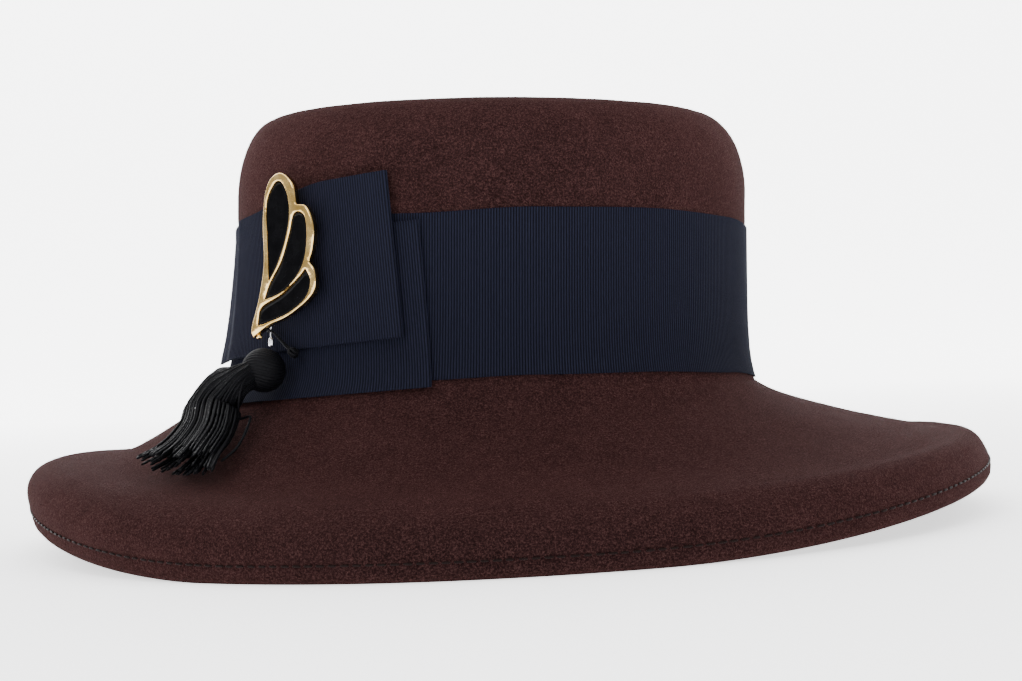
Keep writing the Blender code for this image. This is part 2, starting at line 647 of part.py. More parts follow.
def make_tassel(material, rest):
    """Knot, wound head and a skirt of locks that lies down the brim, all one closed form."""
    bearing, offset, head, knot = tassel_places()
    radius = TASSEL_HEAD_DIAMETER / 2

    sections = [dict(zip(SKIRT_COLUMNS, row)) for row in SKIRT_SECTIONS]
    middles = []
    for row in sections:
        beside = bearing_at(TASSEL_ALONG - row["aside"] * SKIRT_LENGTH)
        rise = SKIRT_CLEARANCE + row["thickness"] * SKIRT_THICKNESS / 2
        middles.append(brim_place(beside, offset, radius + row["way"] * SKIRT_LENGTH, rise))
    to_head = (head - knot).normalized()
    to_skirt = (middles[1] - head).normalized()
    side = Vector((-math.sin(bearing), math.cos(bearing), 0.0))
    rings = ball_rings(knot, TASSEL_KNOT_DIAMETER / 2, KNOT_ANGLES, to_head, to_head, side)
    rings += ball_rings(head, radius, HEAD_ANGLES, to_head, to_skirt, side)
    for number, row in enumerate(sections):
        ahead = middles[min(number + 1, len(middles) - 1)]
        behind = middles[number - 1] if number else head
        way = (ahead - behind).normalized()
        turn = 1.0 - smooth_step(row["way"], 0.0, SKIRT_TURN)
        square = (side - way * side.dot(way) * turn).normalized()
        across = square * row["width"] * SKIRT_WIDTH / 2
        over = square.cross(way).normalized() * row["thickness"] * SKIRT_THICKNESS / 2
        rings.append((middles[number], across, over, row["cut"]))
    count = SKIRT_LOCKS * LOCK_POINTS
    points = []
    for middle, across, over, cut in rings:
        for i in range(count):
            angle = TWO_PI * i / count
            size = 1.0 - cut * (0.5 - 0.5 * math.cos(SKIRT_LOCKS * angle))
            points.append(middle + (across * math.cos(angle) + over * math.sin(angle)) * size)
    faces = ring_faces(len(rings), count)
    last = len(points) - count
    for centre, start in ((knot - to_head * TASSEL_KNOT_DIAMETER / 2, 0),
                          (middles[-1].lerp(middles[-2], SKIRT_HOLLOW), last)):
        faces += [(start + i, start + (i + 1) % count, len(points)) for i in range(count)]
        points.append(centre)
    return add_piece("tassel", points, faces, material, rest)


LOOP_SIDES = 8
ROUND_PIN_ANGLES = (20, 90, 160, 225, 290)
# The cord's height above the pin's end, and its rise round the pin, in cord diameters
CORD_ABOVE_PIN_END = 1.6
CORD_CLIMB = 0.4


def cord_path():
    """The tassel's loop: up from the knot, round the pin under the brooch, and back to the knot."""
    place = brooch_frame_matrix()
    across, depth = pin_axis()
    knot = place.inverted() @ tassel_places()[3]
    radius = (PIN_DIAMETER + CORD_DIAMETER) / 2 + CLEARANCE
    level = PIN_BOTTOM * BROOCH_HEIGHT + PIN_END_LENGTH + CORD_ABOVE_PIN_END * CORD_DIAMETER
    round_pin = [Vector((across + radius * math.cos(angle), level + CORD_CLIMB * CORD_DIAMETER * math.sin(angle),
                         depth + radius * math.sin(angle)))
                 for angle in map(math.radians, ROUND_PIN_ANGLES)]
    spread = Vector((0.0, 0.0, CORD_DIAMETER / 2 + CLEARANCE))
    reach = TASSEL_KNOT_DIAMETER / 2 + CLEARANCE + CORD_DIAMETER / 4
    ends = []
    for sign, target in ((1, round_pin[0]), (-1, round_pin[-1])):
        aim = target - knot
        aim = Vector((aim.x, aim.y, 0.0)).normalized() * reach
        ends.append(knot + aim + sign * spread)
    path = [ends[0], ends[0].lerp(round_pin[0], 0.5)] + round_pin + [ends[1].lerp(round_pin[-1], 0.5), ends[1]]
    return [place @ Vector(point) for point in smooth_curve(path, 3)]


def make_tassel_loop(material, rest):
    points, rings = [], cord_path()
    for number, middle in enumerate(rings):
        ahead = rings[min(number + 1, len(rings) - 1)]
        behind = rings[max(number - 1, 0)]
        way = (ahead - behind).normalized()
        if number == 0:
            side = way.orthogonal().normalized()
        side = (side - way * side.dot(way)).normalized()
        over = side.cross(way)
        for i in range(LOOP_SIDES):
            angle = TWO_PI * i / LOOP_SIDES
            points.append(middle + (side * math.cos(angle) + over * math.sin(angle)) * CORD_DIAMETER / 2)
    faces = ring_faces(len(rings), LOOP_SIDES)
    faces.append(tuple(range(LOOP_SIDES)))
    faces.append(tuple(len(points) - LOOP_SIDES + i for i in range(LOOP_SIDES)))
    return add_piece("tassel_loop", points, faces, material, rest)


def main():
    clear_scene()
    felt = make_material("brown_felt", BROWN, 0.95)
    ribbon = make_material("navy_grosgrain", NAVY, 0.75)
    gold = make_material("gold", GOLD, 0.2, 1.0)
    enamel = make_material("black_enamel", BLACK, 0.08)
    steel = make_material("steel_pin", STEEL, 0.25, 1.0)
    thread = make_material("black_thread", BLACK, 0.45)
    rest = bpy.data.objects.new("rest", None)
    bpy.context.collection.objects.link(rest)
    body = make_felt_body(felt, rest)
    make_hat_band(ribbon, rest)
    make_loop("bow_lower_loop", LOWER_LOOP_START, LOWER_LOOP_LENGTH, LOWER_LOOP_CENTRE, LOWER_LOOP_DROP,
              lambda along: LOWER_LOOP_LIFT, ribbon, rest)
    make_loop("bow_upper_loop", UPPER_LOOP_START, UPPER_LOOP_LENGTH, UPPER_LOOP_CENTRE, UPPER_LOOP_DROP,
              upper_loop_lift, ribbon, rest)
    make_brooch_frame(gold, rest)
    for number in range(len(CELL_OUTLINES)):
        make_brooch_enamel(number, enamel, rest)
    make_brooch_pin(steel, rest)
    make_tassel_loop(thread, rest)
    make_tassel(thread, rest)
    tip_back = Matrix.Rotation(REST_TILT, 4, "Y")
    reach = [(tip_back @ vertex.co).x for vertex in body.data.vertices]
    rest.matrix_world = Matrix.Translation((-(min(reach) + max(reach)) / 2, 0.0, 0.0)) @ tip_back


main()
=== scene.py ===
import math
import random

import bmesh
import bpy
import numpy as np
from mathutils import Matrix, Vector, geometry, noise


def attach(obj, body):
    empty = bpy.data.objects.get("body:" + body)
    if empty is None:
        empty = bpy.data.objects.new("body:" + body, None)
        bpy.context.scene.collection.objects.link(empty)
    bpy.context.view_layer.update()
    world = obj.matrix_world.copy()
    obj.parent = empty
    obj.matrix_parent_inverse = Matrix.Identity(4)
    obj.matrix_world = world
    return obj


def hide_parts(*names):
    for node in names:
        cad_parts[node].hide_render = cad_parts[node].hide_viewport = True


# A lady's wide-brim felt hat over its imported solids: felt with a stitched hem, ribbed ribbon,
# an enamelled brooch and a tassel of twisted cords. Everything is worked out upright, round
# the crown's axis, and then tipped back onto the sides of its rim, as the solids are. The tassel's
# skirt follows the photograph's outline, which lies higher over the brim than its solid does.

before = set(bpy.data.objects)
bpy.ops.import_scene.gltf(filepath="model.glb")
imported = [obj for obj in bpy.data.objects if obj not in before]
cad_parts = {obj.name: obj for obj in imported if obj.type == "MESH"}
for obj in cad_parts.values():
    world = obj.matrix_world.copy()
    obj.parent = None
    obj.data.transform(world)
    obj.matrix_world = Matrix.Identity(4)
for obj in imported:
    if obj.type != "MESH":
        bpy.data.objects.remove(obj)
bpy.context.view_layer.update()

# Sizes in metres, the same as the solids have
HEAD_LENGTH = 0.1979
HEAD_WIDTH = 0.164
FELT_WALL = 0.0025
FOOT_HEIGHT = 0.057
CROWN_RISE = 0.1032
DOME_RISE = 0.0015
CROWN_LEAN = 0.0011
SHOULDER_RISE = 0.030
SHOULDER_FRONT = 0.0150
SHOULDER_SIDE = 0.018
SHOULDER_BACK = 0.0172
FLARE_REACH = 0.004
FLARE_HEIGHT = 0.010
BRIM_FRONT = 0.0795
BRIM_SIDE = 0.0715
BRIM_BACK = 0.0934
RIM_LIFT_FRONT = 0.0140
RIM_LIFT_BACK = 0.0133
REST_TILT = math.radians(2.86)
REST_SHIFT = -0.00822
HEM_DEPTH = 0.007
RIM_PRESS = 0.0010
RIBBON_WIDTH = 0.0587
RIBBON_THICKNESS = 0.0006
RIBBON_SAG = 0.0018
BAND_CENTRE = 0.0320
UPPER_LOOP_START = 0.012
UPPER_LOOP_LENGTH = 0.1025
UPPER_LOOP_CENTRE = 0.0460
UPPER_LOOP_DROP = 0.0108
LOWER_LOOP_START = 0.040
LOWER_LOOP_LENGTH = 0.085
LOWER_LOOP_CENTRE = 0.0287
LOWER_LOOP_DROP = 0.0080
BROOCH_HEIGHT = 0.0592
BROOCH_WIDTH = 0.030
BROOCH_THICKNESS = 0.0025
BROOCH_ALONG = 0.074
BROOCH_CENTRE = 0.0461
BROOCH_TWIST = math.radians(4.0)
BROOCH_STANDOFF = 0.0035
BOW_FACE_LIFT = 0.0047
PIN_DIAMETER = 0.0008
PIN_END_DIAMETER = 0.0020
PIN_END_LENGTH = 0.004
PIN_TOP = 0.040
PIN_ACROSS = -0.29
PIN_BOTTOM = -0.56
TASSEL_ALONG = 0.070
TASSEL_HEAD_DIAMETER = 0.016
TASSEL_HEAD_RISE = 0.0049
TASSEL_KNOT_DIAMETER = 0.0044
TASSEL_KNOT_ASIDE = 0.0070
TASSEL_KNOT_RISE = 0.0062
CORD_DIAMETER = 0.0010
CLEARANCE = 0.0003

BRIM_COLUMNS = ("front_reach", "front_drop", "side_reach", "side_drop", "back_reach", "back_drop")
BRIM_SECTIONS = (
    (0.00, 0.000, 0.00, 0.000, 0.00, 0.000),
    (0.07, 0.120, 0.07, 0.130, 0.07, 0.110),
    (0.15, 0.220, 0.15, 0.235, 0.16, 0.200),
    (0.27, 0.345, 0.27, 0.355, 0.30, 0.303),
    (0.40, 0.465, 0.40, 0.465, 0.45, 0.400),
    (0.52, 0.555, 0.52, 0.535, 0.60, 0.486),
    (0.65, 0.595, 0.65, 0.585, 0.74, 0.554),
    (0.78, 0.603, 0.78, 0.620, 0.83, 0.590),
    (0.88, 0.615, 0.88, 0.670, 0.90, 0.568),
    (0.962, 0.665, 0.96, 0.755, 0.945, 0.615),
    (1.00, 0.765, 1.00, 0.850, 0.980, 0.750),
    (0.988, 0.895, 1.01, 0.930, 1.00, 0.880),
    (0.967, 1.000, 1.00, 1.000, 1.00, 1.000),
)
REST_END_FRONT = 0.45
REST_END_BACK = 0.20
LIFT_POWER = 2.5
BAND_WAVE = ((0, -1.0), (30, 0.5), (55, 1.0), (90, 0.4), (135, -0.6), (180, -1.0),
             (225, -0.9), (255, -0.6), (280, 0.6), (305, 1.0), (330, 0.5))

FRAME_OUTLINE = (
    (0.030, 0.000, 1), (0.000, 0.060, 0), (0.110, 0.230, 0), (0.195, 0.450, 0), (0.180, 0.720, 0),
    (0.250, 0.930, 0), (0.440, 1.000, 0), (0.640, 0.930, 0), (0.700, 0.806, 1), (0.860, 0.785, 0),
    (0.967, 0.670, 0), (0.950, 0.540, 0), (0.900, 0.455, 1), (0.985, 0.400, 0), (0.985, 0.290, 0),
    (0.860, 0.215, 0), (0.560, 0.125, 0), (0.280, 0.075, 0),
)
CELL_OUTLINES = (
    ((0.273, 0.345, 1), (0.262, 0.440, 0), (0.248, 0.620, 0), (0.235, 0.810, 0), (0.330, 0.915, 0),
     (0.446, 0.948, 0), (0.550, 0.880, 0), (0.592, 0.760, 0), (0.540, 0.610, 0), (0.413, 0.455, 0)),
    ((0.205, 0.232, 1), (0.295, 0.330, 0), (0.463, 0.455, 0), (0.588, 0.620, 0), (0.650, 0.730, 0),
     (0.744, 0.757, 0), (0.838, 0.720, 0), (0.862, 0.600, 0), (0.820, 0.470, 0), (0.700, 0.370, 0),
     (0.470, 0.278, 0)),
    ((0.095, 0.075, 1), (0.160, 0.180, 0), (0.480, 0.262, 0), (0.740, 0.360, 0), (0.850, 0.413, 1),
     (0.918, 0.340, 0), (0.840, 0.240, 0), (0.560, 0.148, 0), (0.250, 0.095, 0)),
)
# The tassel's skirt, unlike its solid's: where it lies along the crown's wall, how far down the
# brim and how high above it, and its half sizes
SKIRT_COLUMNS = ("along", "distance", "rise", "half_width", "half_thickness")
SKIRT_SECTIONS = (
    (0.0687, -0.005, 0.0179, 0.0062, 0.0052),
    (0.0626, 0.000, 0.0155, 0.0108, 0.0066),
    (0.0604, 0.008, 0.0122, 0.0146, 0.0070),
    (0.0635, 0.018, 0.0106, 0.0164, 0.0060),
    (0.0642, 0.029, 0.0093, 0.0186, 0.0050),
    (0.0645, 0.040, 0.0071, 0.0248, 0.0046),
)
# The distance over which its sections turn from square to the neck to level with the brim
SKIRT_TURN = 0.018
NECK_INSIDE_HEAD = 0.70
NECK_WIDTH = 0.6

# Detail that only shows up close
FELT_BEARINGS = 300
FELT_WAVE = 0.00022
FELT_SWELL = 0.00025
WAVE_SCALES = (34.0, 95.0)
FIBRES = 150000
STITCH_PITCH = 0.0039
STITCH_LENGTH = 0.0027
STITCH_INSET = 0.0046
STITCH_DIAMETER = 0.00075
STITCH_DRIFT = 0.0002
STITCH_SPREAD = (0.88, 1.08)
FIBRE_LENGTHS = (0.0005, 0.0013)
FIBRE_HALF_WIDTHS = (0.00003, 0.00006)
FIBRE_TILTS = (4, 42)
FIBRE_CLEAR_OF_FLOOR = 0.00005
GROOVE_DEPTH = 0.00045
GROOVE_WIDTH = 0.0009
RIB_PITCH = 0.00098
RIB_HEIGHT = 0.00028
RIB_ROUND = 0.7
POINTS_PER_RIB = 5
BAND_CLEARANCE = 0.0001
LOOP_GAP = 0.0003
LOOP_THICKNESS = 0.75 * RIBBON_THICKNESS
PUFF_REACH = 0.010
LOWER_PUFF = 0.0010
UPPER_PUFF = 0.0016
LAYER = 0.0008
STEP_OVER_LOWER_LOOP = 0.0019
LOOP_STEP = (0.014, 0.004)
PIN_DIP = 0.0060
PIN_DIP_ALONG = (0.088, 0.046)
STANDOFF_ALONG = (0.015, 0.060)
STANDOFF_HEIGHTS = (0.066, 0.085, 0.109, 0.135)
STANDOFFS = (0.0030, 0.0012, -0.0008, -0.0008)
TASSEL_CORDS = 140
TASSEL_CORD_DIAMETER = 0.00115

# Colours, from dark to light
FELT_COLOURS = ((0.006, 0.0026, 0.0026), (0.022, 0.0096, 0.0094), (0.078, 0.035, 0.033))
FIBRE_COLOURS = ((0.020, 0.0080, 0.0075), (0.060, 0.025, 0.022), (0.17, 0.078, 0.068))
SEAM_COLOURS = ((0.0040, 0.0017, 0.0014), (0.0130, 0.0056, 0.0046))
RIBBON_COLOURS = ((0.0018, 0.0020, 0.0050), (0.0074, 0.0082, 0.0170))
GOLD_COLOURS = ((0.55, 0.35, 0.10), (0.90, 0.64, 0.27))
ENAMEL_COLOURS = ((0.0010, 0.0010, 0.0014), (0.0030, 0.0030, 0.0036))
STEEL_COLOURS = ((0.55, 0.55, 0.57), (0.75, 0.75, 0.77))
THREAD_COLOURS = ((0.0008, 0.0008, 0.0012), (0.0050, 0.0050, 0.0068))
FLOOR_COLOURS = ((0.88, 0.88, 0.89), (0.90, 0.90, 0.91))

# The room: the floor's painted glow over a distance from the hat, weaker near it as a painted shadow, its
# rise into a wall, and the camera
PAINTED_GLOW_REACH = (0.20, 1.60)
PAINTED_GLOW_STRENGTH = (1.4, 4.2)
FLOOR_START = -8.0
FLOOR_HALF_WIDTH = 4.0
SWEEP_RADIUS = 1.2
WALL_HEIGHT = 4.0
ROOM_BRIGHTNESS = 0.66
LIGHTS = (
    ("overhead", (-0.1, -0.1, 1.7), (0.0, 0.0, 0.05), (2.2, 1.8), 27.0),
    ("front", (-1.0, -1.6, 1.2), (0.0, 0.0, 0.08), (0.8, 0.7), 17.0),
    ("left", (-1.5, 0.3, 1.5), (0.0, 0.0, 0.08), (1.2, 1.0), 9.0),
    ("right", (1.5, 0.2, 1.3), (0.0, 0.0, 0.08), (1.2, 1.0), 8.0),
)
CAMERA_PLACE = (0.0077, -0.616, 0.07255)
CAMERA_SENSOR = 36.0
CAMERA_LENS = 53.6

TWO_PI = 2.0 * math.pi
OVAL_LENGTH = HEAD_LENGTH / 2 + FELT_WALL
OVAL_WIDTH = HEAD_WIDTH / 2 + FELT_WALL
CROWN_TOP = FOOT_HEIGHT + CROWN_RISE
REST = Matrix.Translation((REST_SHIFT, 0.0, 0.0)) @ Matrix.Rotation(REST_TILT, 4, "Y")
CHANCE = random.Random(11)


# Curves and places on the hat
def smooth_curve(knots, steps):
    """Points along a Catmull-Rom curve through the knots."""
    knots = np.asarray(knots, float)
    points = []
    for i in range(len(knots) - 1):
        start, end = knots[i], knots[i + 1]
        before = knots[i - 1] if i else 2 * start - end
        after = knots[i + 2] if i + 2 < len(knots) else 2 * end - start
        for t in np.arange(steps) / steps:
            points.append(0.5 * (2 * start + (end - before) * t
                                 + (2 * before - 5 * start + 4 * end - after) * t ** 2
                                 + (3 * start - before - 3 * end + after) * t ** 3))
    points.append(knots[-1])
    return np.array(points)


def smooth_step(value, start, end):
    share = np.clip((value - start) / (end - start), 0.0, 1.0)
    return share * share * (3 - 2 * share)


def blend_round(bearing, front, side, back):
    cosine = math.cos(bearing)
    end = back if cosine > 0 else front
    return side + (end - side) * cosine ** 2


def oval_point(bearing, offset):
    """A plan point at a distance outside the crown's wall, square to it."""
    across = np.array([math.cos(bearing) / OVAL_LENGTH, math.sin(bearing) / OVAL_WIDTH])
    across /= np.linalg.norm(across)
    base = np.array([OVAL_LENGTH * math.cos(bearing), OVAL_WIDTH * math.sin(bearing)])
    return base + across * offset


def on_hat(bearing, offset, height):
    x, y = oval_point(bearing, offset)
    return Vector((x, y, height))


def arc_table():
    bearings = np.linspace(math.pi, 3 * math.pi, 1441)
    walls = np.array([oval_point(bearing, 0.0) for bearing in bearings])
    steps = np.linalg.norm(np.diff(walls, axis=0), axis=1)
    return bearings, np.concatenate([[0.0], np.cumsum(steps)])


ARC_BEARINGS, ARC_LENGTHS = arc_table()


def bearing_at(along):
    """The bearing at a length of wall from the crown's front, towards the trimmed side."""
    return float(np.interp(along % ARC_LENGTHS[-1], ARC_LENGTHS, ARC_BEARINGS))


def rim_height(bearing):
    cosine = math.cos(bearing)
    reach = blend_round(bearing, BRIM_FRONT, BRIM_SIDE, BRIM_BACK)
    plane = math.tan(REST_TILT) * oval_point(bearing, reach)[0]
    if cosine < -REST_END_FRONT:
        share = (-cosine - REST_END_FRONT) / (1 - REST_END_FRONT)
        return plane + RIM_LIFT_FRONT * share ** LIFT_POWER
    share = max(0.0, (cosine - REST_END_BACK) / (1 - REST_END_BACK))
    return plane + RIM_LIFT_BACK * share ** LIFT_POWER


def brim_curve(bearing):
    """The brim's upper face at one bearing, as offset and height, from foot to rim fold."""
    reach = blend_round(bearing, BRIM_FRONT, BRIM_SIDE, BRIM_BACK) - FLARE_REACH
    fold_height = rim_height(bearing) + FELT_WALL - RIM_PRESS
    knots = []
    for row in BRIM_SECTIONS:
        section = dict(zip(BRIM_COLUMNS, row))
        out, drop = (blend_round(bearing, *(section[f"{end}_{size}"] for end in ("front", "side", "back")))
                     for size in ("reach", "drop"))
        knots.append((FLARE_REACH + out * reach, FOOT_HEIGHT - drop * (FOOT_HEIGHT - fold_height)))
    return smooth_curve(knots, 12)


def lengths_of(curve):
    return np.concatenate([[0.0], np.cumsum(np.linalg.norm(np.diff(curve, axis=0), axis=1))])


def at_lengths(curve, wanted):
    lengths = lengths_of(curve)
    return np.column_stack([np.interp(wanted, lengths, curve[:, k]) for k in (0, 1)])


def wall_offset(height):
    return FLARE_REACH * np.exp(-(height - FOOT_HEIGHT) / FLARE_HEIGHT)


SHOULDER_STEPS = 22
WALL_STEPS = 52
BRIM_STEPS = 96
HEM_STEPS = 6


def felt_section(bearing):
    """The felt's outer face at one bearing, from the crown's edge down to the rim fold."""
    reach = blend_round(bearing, SHOULDER_FRONT, SHOULDER_SIDE, SHOULDER_BACK)
    top = CROWN_TOP + CROWN_LEAN * math.cos(bearing)
    angles = np.radians(np.linspace(90, 0, SHOULDER_STEPS))
    heights = top - SHOULDER_RISE * (1 - np.sin(angles))
    shoulder = np.column_stack([wall_offset(heights) - reach * (1 - np.cos(angles)), heights])
    heights = np.linspace(top - SHOULDER_RISE, FOOT_HEIGHT, WALL_STEPS + 1)[1:-1]
    wall = np.column_stack([wall_offset(heights), heights])
    curve = brim_curve(bearing)
    whole = lengths_of(curve)[-1]
    shares = np.concatenate([np.linspace(0, whole - HEM_DEPTH, BRIM_STEPS),
                             np.linspace(whole - HEM_DEPTH, whole, HEM_STEPS + 1)[1:]])
    return np.vstack([shoulder, wall, at_lengths(curve, shares)])


def section_normals(rows):
    tangents = np.gradient(rows, axis=0)
    normals = np.column_stack([-tangents[:, 1], tangents[:, 0]])
    return normals / np.linalg.norm(normals, axis=1)[:, None]


SECTION_BEARINGS = [TWO_PI * i / FELT_BEARINGS for i in range(FELT_BEARINGS + 1)]
SECTIONS = np.array([felt_section(bearing) for bearing in SECTION_BEARINGS])
WALL_ROWS = slice(0, SHOULDER_STEPS + WALL_STEPS + BRIM_STEPS // 4)
BRIM_ROWS = slice(SHOULDER_STEPS + WALL_STEPS - 1, None)


def section_between(bearing):
    place = (bearing % TWO_PI) / TWO_PI * FELT_BEARINGS
    index = int(place) % FELT_BEARINGS
    share = place - int(place)
    return SECTIONS[index] * (1 - share) + SECTIONS[index + 1] * share


def felt_offset(bearing, heights):
    """How far out the felt's face lies at heights on the crown or the brim's first slope."""
    rows = section_between(bearing)[WALL_ROWS][::-1]
    return np.interp(heights, rows[:, 1], rows[:, 0])


def over_face(bearing, rows, normals, place, rise):
    """A point at a length along a section's face, and a rise square to it."""
    lengths = lengths_of(rows)
    offset, height, out, up = (float(np.interp(place, lengths, values))
                               for values in (*rows.T, *normals.T))
    return on_hat(bearing, offset + rise * out, height + rise * up)


def brim_place(bearing, start, distance, rise):
    """A point on the brim, a distance down its face from an offset, and a rise square to it."""
    rows = section_between(bearing)
    normals = section_normals(rows)[BRIM_ROWS]
    rows = rows[BRIM_ROWS]
    place = np.interp(start, rows[:, 0], lengths_of(rows)) + distance
    return over_face(bearing, rows, normals, place, rise)


def band_height(bearing):
    degrees = math.degrees(bearing) % 360
    for (start, low), (end, high) in zip(BAND_WAVE, BAND_WAVE[1:] + ((360, BAND_WAVE[0][1]),)):
        if start <= degrees <= end:
            share = low + (high - low) * smooth_step(degrees, start, end)
            return FOOT_HEIGHT + BAND_CENTRE + RIBBON_SAG * share
    return FOOT_HEIGHT + BAND_CENTRE


# Meshes
def add_object(name, data):
    thing = bpy.data.objects.new(name, data)
    bpy.context.collection.objects.link(thing)
    return thing


def add_piece(name, points, faces, material, slot, nodes=(), upright=True, smooth=True):
    """A mesh that rides on the hat; its points are tipped back with the solids."""
    points = np.asarray([tuple(point) for point in points], float)
    if upright:
        tip = np.array(REST)
        points = points @ tip[:3, :3].T + tip[:3, 3]
    mesh = bpy.data.meshes.new(name)
    mesh.from_pydata(points.tolist(), [], faces)
    mesh.validate()
    if smooth:
        solid = bmesh.new()
        solid.from_mesh(mesh)
        bmesh.ops.recalc_face_normals(solid, faces=solid.faces)
        solid.to_mesh(mesh)
        solid.free()
        mesh.shade_smooth()
    mesh.materials.append(material)
    piece = add_object(name, mesh)
    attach(piece, "root")
    if nodes:
        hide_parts(*nodes)
    return piece


def ring_faces(rings, count, closed_rings=False):
    faces = []
    for ring in range(rings if closed_rings else rings - 1):
        below = (ring + 1) % rings
        for i in range(count):
            j = (i + 1) % count
            faces.append((ring * count + i, ring * count + j, below * count + j, below * count + i))
    return faces


def capped_faces(rings, count):
    """The faces of a closed tube of rings, with one over each end."""
    ends = [tuple(start + i for i in range(count)) for start in (0, (rings - 1) * count)]
    return ring_faces(rings, count) + ends


def tube(path, radius, sides, lobes=0.0, twist=0.0, start_angle=0.0):
    """Points and faces of a closed tube; with lobes it is two plies twisted together."""
    path = [Vector(point) for point in path]
    points, side, run = [], None, 0.0
    for number, middle in enumerate(path):
        ahead = path[min(number + 1, len(path) - 1)]
        behind = path[max(number - 1, 0)]
        way = (ahead - behind).normalized()
        if side is None:
            side = way.orthogonal().normalized()
        side = (side - way * side.dot(way)).normalized()
        over = side.cross(way)
        if number:
            run += (middle - path[number - 1]).length
        turn = start_angle + (run / twist * TWO_PI if twist else 0.0)
        size = radius * (0.55 if number in (0, len(path) - 1) else 1.0)
        for i in range(sides):
            angle = TWO_PI * i / sides
            reach = size * (1.0 - lobes * (0.5 - 0.5 * math.cos(2 * (angle - turn))))
            points.append(middle + (side * math.cos(angle) + over * math.sin(angle)) * reach)
    return points, capped_faces(len(path), sides)


def joined(parts):
    points, faces = [], []
    for part_points, part_faces in parts:
        start = len(points)
        points += list(part_points)
        faces += [tuple(number + start for number in face) for face in part_faces]
    return points, faces


# Materials
def set_inputs(node, values):
    for name, value in values.items():
        node.inputs[name].default_value = value


def new_material(name, roughness, metallic=0.0):
    material = bpy.data.materials.new(name)
    material.use_nodes = True
    tree = material.node_tree
    shader = tree.nodes["Principled BSDF"]
    set_inputs(shader, {"Roughness": roughness, "Metallic": metallic})
    where = tree.nodes.new("ShaderNodeTexCoord").outputs["Object"]
    return material, tree, shader, where


def noise_node(tree, where, scale, detail=3.0, roughness=0.6):
    node = tree.nodes.new("ShaderNodeTexNoise")
    set_inputs(node, {"Scale": scale, "Detail": detail, "Roughness": roughness})
    tree.links.new(where, node.inputs["Vector"])
    return node.outputs["Fac"]


def ramp_node(tree, source, stops):
    node = tree.nodes.new("ShaderNodeValToRGB")
    elements = node.color_ramp.elements
    while len(elements) < len(stops):
        elements.new(0.5)
    for element, (place, colour) in zip(elements, stops):
        element.position = place
        element.color = (*colour, 1.0)
    tree.links.new(source, node.inputs["Fac"])
    return node.outputs["Color"]


def add_bump(tree, shader, source, strength, distance):
    node = tree.nodes.new("ShaderNodeBump")
    set_inputs(node, {"Strength": strength, "Distance": distance})
    tree.links.new(source, node.inputs["Height"])
    tree.links.new(node.outputs["Normal"], shader.inputs["Normal"])


def mix_colours(tree, share, first, second):
    node = tree.nodes.new("ShaderNodeMix")
    node.data_type = "RGBA"
    tree.links.new(share, node.inputs["Factor"])
    tree.links.new(first, node.inputs["A"])
    tree.links.new(second, node.inputs["B"])
    return node.outputs["Result"]


def grey(value):
    return (value, value, value)


def felt_material(name, dark, middle, light):
    material, tree, shader, where = new_material(name, 0.95)
    fine = noise_node(tree, where, 1600, 4, 0.85)
    clouds = noise_node(tree, where, 60, 4, 0.6)
    fine_colour = ramp_node(tree, fine, ((0.40, dark), (0.50, middle), (0.64, light)))
    broad_colour = ramp_node(tree, clouds, ((0.35, dark), (0.70, middle)))
    patches = noise_node(tree, where, 300, 2, 0.5)
    share = ramp_node(tree, patches, ((0.3, grey(0.1)), (0.8, grey(0.5))))
    tree.links.new(mix_colours(tree, share, fine_colour, broad_colour), shader.inputs["Base Color"])
    add_bump(tree, shader, fine, 1.0, 0.0007)
    set_inputs(shader, {"Specular IOR Level": 0.02, "Sheen Weight": 0.08, "Sheen Roughness": 0.40,
                        "Sheen Tint": (0.70, 0.26, 0.24, 1.0)})
    return material


def ribbon_material(name, dark, light):
    material, tree, shader, where = new_material(name, 0.80)
    yarn = noise_node(tree, where, 2600, 2, 0.6)
    rib = tree.nodes.new("ShaderNodeAttribute")
    rib.attribute_name = "rib"
    # Painted shade and painted highlight: the rib valleys are darkened far below the ribbon's colour and
    # the rib tops lightened above it, by each point's height on its rib.
    valley_painted_shade = tuple(0.12 * value for value in dark)
    top = tuple(1.35 * value for value in light)
    rib_painted_shade_and_highlight = ramp_node(tree, rib.outputs["Fac"], ((0.45, valley_painted_shade), (0.95, top)))
    fine_colour = ramp_node(tree, yarn, ((0.40, dark), (0.62, light)))
    patches = noise_node(tree, where, 900, 2, 0.5)
    share = ramp_node(tree, patches, ((0.3, grey(0.55)), (0.7, grey(0.95))))
    tree.links.new(mix_colours(tree, share, fine_colour, rib_painted_shade_and_highlight), shader.inputs["Base Color"])
    add_bump(tree, shader, yarn, 0.5, 0.0002)
    set_inputs(shader, {"Specular IOR Level": 0.06, "Sheen Weight": 0.02, "Sheen Roughness": 0.35,
                        "Sheen Tint": (0.50, 0.58, 0.80, 1.0)})
    return material


def thread_material(name, dark, light):
    material, tree, shader, where = new_material(name, 0.50)
    fibre = noise_node(tree, where, 3200, 2, 0.6)
    tree.links.new(ramp_node(tree, fibre, ((0.3, dark), (0.8, light))), shader.inputs["Base Color"])
    add_bump(tree, shader, fibre, 0.4, 0.0002)
    set_inputs(shader, {"Specular IOR Level": 0.08})
    return material


def metal_material(name, dark, light, roughness):
    material, tree, shader, where = new_material(name, roughness, 1.0)
    tone = noise_node(tree, where, 160, 3, 0.5)
    tree.links.new(ramp_node(tree, tone, ((0.3, dark), (0.7, light))), shader.inputs["Base Color"])
    dents = noise_node(tree, where, 260, 3, 0.5)
    add_bump(tree, shader, dents, 0.35, 0.0006)
    return material


